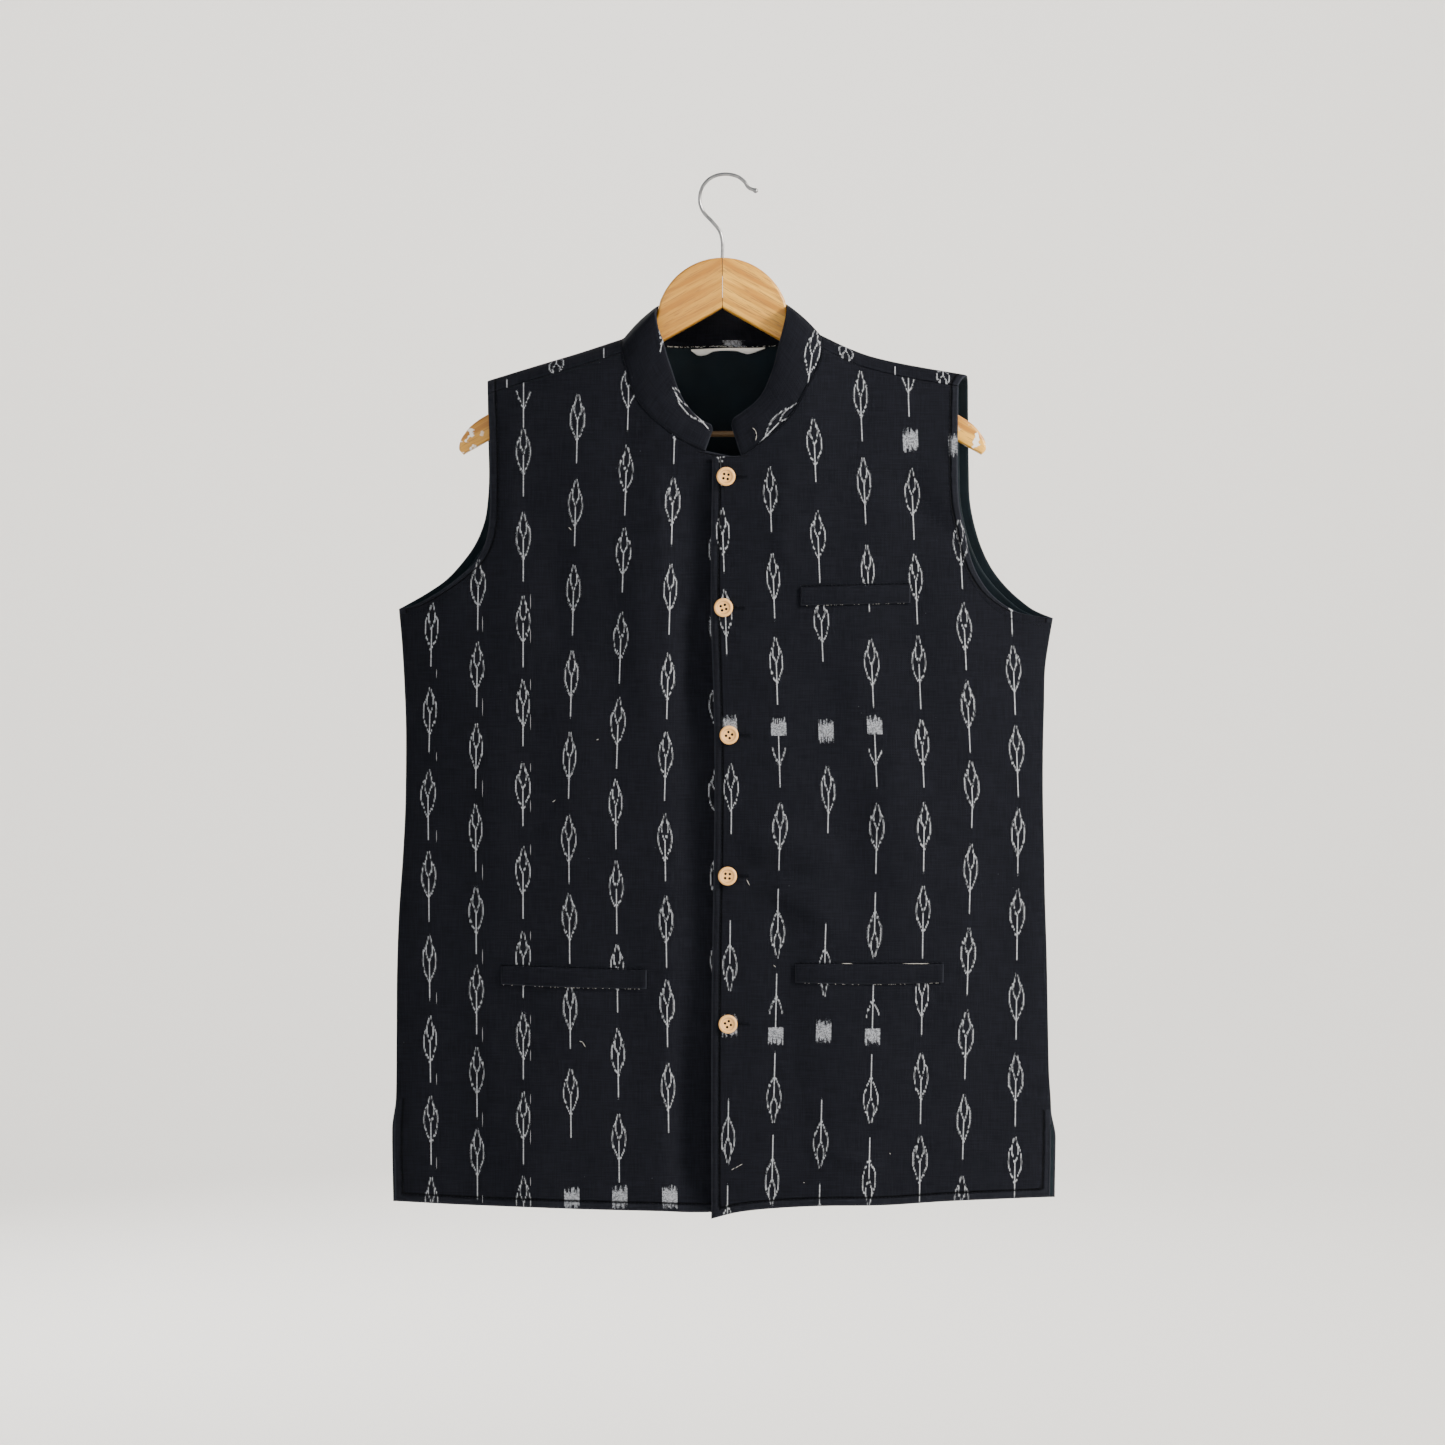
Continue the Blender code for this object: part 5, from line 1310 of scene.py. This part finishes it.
stitchBundles("buttonholes", worked, holeForm["radius"], sewingThread, arch=0.2)
print("buttonholes made")

# Hanger: two halves of varnished pale hardwood, glued at the middle
hangerForm = {
    "thick": 12.0, "edge": 3.2, "gap": 0.3, "humpZ": -125.0, "humpRadius": 56.0, "humpAngle": 29.4,
    "topX": 86.0, "topZ": -145.9, "topSlope": -0.49, "bottomZ": -111.0, "bottomSlope": -0.565,
    "tip": [(217.5, -234.0), (220.9, -230.2), (220.2, -223.0), (216.5, -216.5), (211.0, -210.0),
            (204.0, -204.6)],
    "foot": [(67.0, -135.2), (60.5, -128.0), (56.3, -119.5), (54.0, -111.5), (52.2, -104.3)],
    "barZ": -216.7, "barRadius": 2.5, "barEnd": 203.0,
}
hangerWood, tree, principled = newMaterial("varnished_hanger_wood", Roughness=0.45, **{"Coat Weight": 0.18,
                                           "Coat Roughness": 0.25})
place = add(tree, "ShaderNodeTexCoord")
spot = add(tree, "ShaderNodeSeparateXYZ", {0: place.outputs["Object"]})
outAlong = add(tree, "ShaderNodeMath", {0: spot.outputs["X"]}, operation="ABSOLUTE")
half = add(tree, "ShaderNodeCombineXYZ", {0: outAlong, 1: spot.outputs["Y"], 2: spot.outputs["Z"]})
grainTurn = (0.0, 0.506, 0.0)  # the grain runs down along each arm
stretched = add(tree, "ShaderNodeMapping", {"Vector": half, "Rotation": grainTurn,
                                            "Scale": (1 / 9, 1 / 90, 1 / 190)}, vector_type="TEXTURE")
rings = add(tree, "ShaderNodeTexNoise", {"Vector": stretched, "Scale": 1.0, "Detail": 5.0, "Distortion": 0.5})
pores = add(tree, "ShaderNodeMapping", {"Vector": half, "Rotation": grainTurn,
                                        "Scale": (1 / 80, 1 / 900, 1 / 1500)}, vector_type="TEXTURE")
fleck = add(tree, "ShaderNodeTexNoise", {"Vector": pores, "Scale": 1.0, "Detail": 2.0})
band = add(tree, "ShaderNodeMapRange", {"Value": rings, "From Min": 0.40, "From Max": 0.62})
wood = add(tree, "ShaderNodeMix", {0: band, 6: colour("#b87a1c"), 7: colour("#e9b040")}, data_type="RGBA")
flecked = add(tree, "ShaderNodeMapRange", {"Value": fleck, "From Min": 0.54, "From Max": 0.66,
                                           "To Max": 0.75})
wood = add(tree, "ShaderNodeMix", {0: flecked, 6: wood.outputs[2], 7: colour("#8f6330")}, data_type="RGBA")
# painted shade: the half at the wearer's right, away from the key light, is darkened
paintedShadeHalf = add(tree, "ShaderNodeMapRange", {"Value": spot.outputs["X"], "From Min": -0.0003, "From Max": 0.0003,
                                          "To Min": 0.46, "To Max": 0.0})
wood = add(tree, "ShaderNodeMix", {0: paintedShadeHalf, 6: wood.outputs[2], 7: colour("#9a651d")}, data_type="RGBA")
# the varnish is chipped to bare pale wood near the ends of the arms
nearEnd = add(tree, "ShaderNodeMapRange", {"Value": outAlong, "From Min": 0.196, "From Max": 0.208})
chips = add(tree, "ShaderNodeTexNoise", {"Vector": place.outputs["Object"], "Scale": 120.0, "Detail": 2.0})
chips = add(tree, "ShaderNodeMapRange", {"Value": chips, "From Min": 0.60, "From Max": 0.63})
chips = add(tree, "ShaderNodeMath", {0: chips, 1: nearEnd}, operation="MULTIPLY")
wood = add(tree, "ShaderNodeMix", {0: chips, 6: wood.outputs[2], 7: colour("#f5f3ee")}, data_type="RGBA")
joint = add(tree, "ShaderNodeMapRange", threshold(outAlong, 0.0002, 0.0005))
wood = add(tree, "ShaderNodeMix", {0: joint, 6: wood.outputs[2], 7: colour("#7d5a30")}, data_type="RGBA")
tree.links.new(wood.outputs[2], principled.inputs["Base Color"])
bump = add(tree, "ShaderNodeBump", {"Height": rings, "Distance": 0.0004, "Strength": 0.35})
tree.links.new(bump.outputs[0], principled.inputs["Normal"])


# outline of one half: the bottom edge out, the round end, the top edge back in, the hump's arc
def hangerOutline():
    h = hangerForm
    x = np.array([h["gap"] / 2, 60, 110])
    bottom = np.stack([x, h["bottomZ"] + h["bottomSlope"] * x], 1)
    tip = route(h["tip"])(np.linspace(0, 1, 22))
    line = np.array([195.0, 150.0, 78.0])
    upper = np.stack([line, h["topZ"] + h["topSlope"] * (line - h["topX"])], 1)
    foot = route([upper[-1]] + h["foot"])(np.linspace(0, 1, 20))[1:]
    angle = np.radians(np.linspace(h["humpAngle"], 90, 30))
    arc = np.stack([h["humpRadius"] * np.cos(angle), h["humpZ"] + h["humpRadius"] * np.sin(angle)], 1)
    arc[:, 0] = np.maximum(arc[:, 0], h["gap"] / 2)
    return np.concatenate([bottom, tip, upper, foot, arc])


for side, sign in signOf.items():
    outline = hangerOutline()
    half = hangerForm["thick"] / 2
    slab = bmesh.new()
    verts = [slab.verts.new((sign * x * mm, -half * mm, z * mm)) for x, z in outline]
    face = slab.faces.new(verts)
    grown = bmesh.ops.extrude_face_region(slab, geom=[face])
    moved = [item for item in grown["geom"] if isinstance(item, bmesh.types.BMVert)]
    bmesh.ops.translate(slab, verts=moved, vec=(0, 2 * half * mm, 0))
    rims = [e for e in slab.edges if abs(e.verts[0].co.y - e.verts[1].co.y) < 1e-7
            and max(abs(v.co.x) for v in e.verts) > 0.0005]
    bmesh.ops.bevel(slab, geom=rims, offset=hangerForm["edge"] * mm, segments=5, profile=0.5, affect="EDGES",
                    clamp_overlap=True)
    bmesh.ops.recalc_face_normals(slab, faces=slab.faces)
    mesh = bpy.data.meshes.new(f"hanger_half_{side}")
    slab.to_mesh(mesh)
    slab.free()
    mesh.shade_smooth()
    mesh.set_sharp_from_angle(angle=math.radians(35))
    mesh.materials.append(hangerWood)
    piece = bpy.data.objects.new(f"hanger_half_{side}", mesh)
    bpy.context.scene.collection.objects.link(piece)
    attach(piece, "root")
    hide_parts(f"hanger_arm_{side}")


# tube along a path in the plane y = 0: centre + radius * (cos * across + sin * y)
def tubePiece(name, path, radii, sides, material, **about):
    path, radii = np.asarray(path, float), np.asarray(radii, float)
    run = toUnit(np.gradient(path, axis=0))
    across = np.stack([run[:, 1], -run[:, 0]], 1)
    angle = math.tau * np.arange(sides) / sides
    ring = radii[:, None] * np.cos(angle)[None]
    points = np.stack([
        path[:, :1] + across[:, :1] * ring, radii[:, None] * np.sin(angle)[None],
        path[:, 1:] + across[:, 1:] * ring,
    ], -1)
    index, tube = tubeFaces(len(path), sides)
    flat = points.reshape(-1, 3) * mm
    if volumeOf(flat, tube) < 0:
        tube = tube[:, ::-1]
        caps = [index[0, ::-1].tolist(), index[-1].tolist()]
    else:
        caps = [index[0].tolist(), index[-1, ::-1].tolist()]
    return newPiece(name, flat, tube.tolist() + caps, material, **about)


# painted shade: the bar is given a darker brown than the arms, for the shadow it lies in inside the neck
# opening
paintedShadeBarWood, tree, principled = newMaterial("bar_wood_painted_shade", Roughness=0.5)
place = add(tree, "ShaderNodeTexCoord")
stretched = add(tree, "ShaderNodeMapping", {"Vector": place.outputs["Object"], "Scale": (12.0, 400.0, 400.0)})
grain = add(tree, "ShaderNodeTexNoise", {"Vector": stretched, "Scale": 1.0, "Detail": 4.0})
mixed = add(tree, "ShaderNodeMix", {0: grain, 6: colour("#5f4526"), 7: colour("#8a6a42")}, data_type="RGBA")
tree.links.new(mixed.outputs[2], principled.inputs["Base Color"])
x = np.linspace(-hangerForm["barEnd"], hangerForm["barEnd"], 40)
tubePiece("hanger_bar_turned", np.stack([x, np.full_like(x, hangerForm["barZ"])], 1),
          np.full_like(x, hangerForm["barRadius"]), 28, paintedShadeBarWood, replaced=("hanger_bar",), slot="hanger_wood")

# Hook: drawn steel wire, dull with use, with a rounded tip
hookForm = {
    "line": [(-0.3, -84.0), (-0.3, -68.7), (-0.3, -54.2), (-2.5, -46.2), (-8.7, -38.3), (-16, -30.2),
             (-19.3, -20.6), (-17.6, -10.6), (-12.0, -3.2), (-4.4, 0.7), (4.6, 1.5), (13.0, -0.6),
             (18.5, -4.9), (21.8, -9.6), (26.6, -11.8)],
    "radius": 1.5, "tip": 2.15, "tipLength": 4.4, "tipReach": 3.4,
}
hookSteel, tree, principled = newMaterial("drawn_hook_steel", Metallic=1.0, Roughness=0.3)
place = add(tree, "ShaderNodeTexCoord")
smear = add(tree, "ShaderNodeTexNoise", {"Vector": place.outputs["Object"], "Scale": 260.0, "Detail": 4.0})
mixed = add(tree, "ShaderNodeMix", {0: smear, 6: colour("#5f6166"), 7: colour("#a9abae")}, data_type="RGBA")
tree.links.new(mixed.outputs[2], principled.inputs["Base Color"])
line = route(hookForm["line"])(np.linspace(0, 1, 150))
cap = np.linspace(0, 1, 12)[1:]
line = np.concatenate([line, line[-1] + toUnit(line[-1] - line[-2]) * cap[:, None] * hookForm["tipReach"]])
run = runAlong(line)
fromTip = (run[-1] - run) / hookForm["tipLength"]
ball = hookForm["tip"] * np.sqrt(np.clip(1 - (1 - 2 * np.clip(fromTip, 0.012, 1)) ** 2, 0, 1))
radii = np.where(fromTip < 0.5, ball, np.maximum(ball, hookForm["radius"]))
tubePiece("hanger_hook_wire", line, radii, 20, hookSteel, replaced=("hanger_hook",), slot="hook_steel")
print("hanger made")

# Stage: a pale floor that curves up into a round wall, so that no view shows an edge
stageForm = {"floorZ": -1.35, "flat": 4.2, "wall": 6.2, "top": 6.0, "steps": 96}
floorPaint, tree, principled = newMaterial("pale_floor", Roughness=0.9)
principled.inputs["Base Color"].default_value = colour("#f2f0ec")
turn = np.linspace(0, math.pi / 2, 24)
bend = stageForm["wall"] - stageForm["flat"]
radius = np.concatenate([[0.01], stageForm["flat"] + bend * np.sin(turn), [stageForm["wall"]]])
height = np.concatenate([[0.0], bend * (1 - np.cos(turn)), [stageForm["top"]]]) + stageForm["floorZ"]
floorMesh = turnedMesh("floor", np.stack([radius, height], 1), stageForm["steps"], unit=1.0, isBowl=True)
floorMesh.shade_smooth()
floorMesh.materials.append(floorPaint)
floor = bpy.data.objects.new("floor", floorMesh)
bpy.context.scene.collection.objects.link(floor)

world = bpy.context.scene.world or bpy.data.worlds.new("studio")
bpy.context.scene.world = world
world.use_nodes = True
world.node_tree.nodes["Background"].inputs["Color"].default_value = colour("#e3e6ea")
world.node_tree.nodes["Background"].inputs["Strength"].default_value = 0.45


def softLight(name, place, target, size, power, tint):
    data = bpy.data.lights.new(name, "AREA")
    data.shape = "DISK"
    data.size = size
    data.energy = power
    data.color = colour(tint)[:3]
    lamp = bpy.data.objects.new(name, data)
    lamp.location = place
    lamp.rotation_euler = (Vector(target) - Vector(place)).to_track_quat("-Z", "Y").to_euler()
    bpy.context.scene.collection.objects.link(lamp)


softLight("key", (2.6, -1.3, 1.1), (0, 0, -0.4), 0.9, 235, "#fff6ea")
softLight("fill", (-2.4, -2.2, 0.2), (0, 0, -0.5), 1.8, 4, "#eef3ff")
softLight("rear", (-1.6, 2.6, 0.8), (0, 0, -0.4), 1.4, 85, "#ffffff")
softLight("backdrop_rear", (0, 2.4, 2.4), (0, 6.0, 0), 2.4, 190, "#ffffff")
softLight("backdrop_front", (0, -2.6, 2.6), (0, -6.0, 0), 2.4, 100, "#ffffff")

cameraData = bpy.data.cameras.new("camera")
cameraData.sensor_width = 36.0
cameraData.lens = 36.0 * cameraDistance / (1445 * pixel)
cameraData.clip_end = 60
camera = bpy.data.objects.new("camera", cameraData)
camera.location = (0, -cameraDistance * mm, cameraHeight * mm)
camera.rotation_euler = (math.pi / 2, 0, 0)
bpy.context.scene.collection.objects.link(camera)
bpy.context.scene.camera = camera
print("stage made")
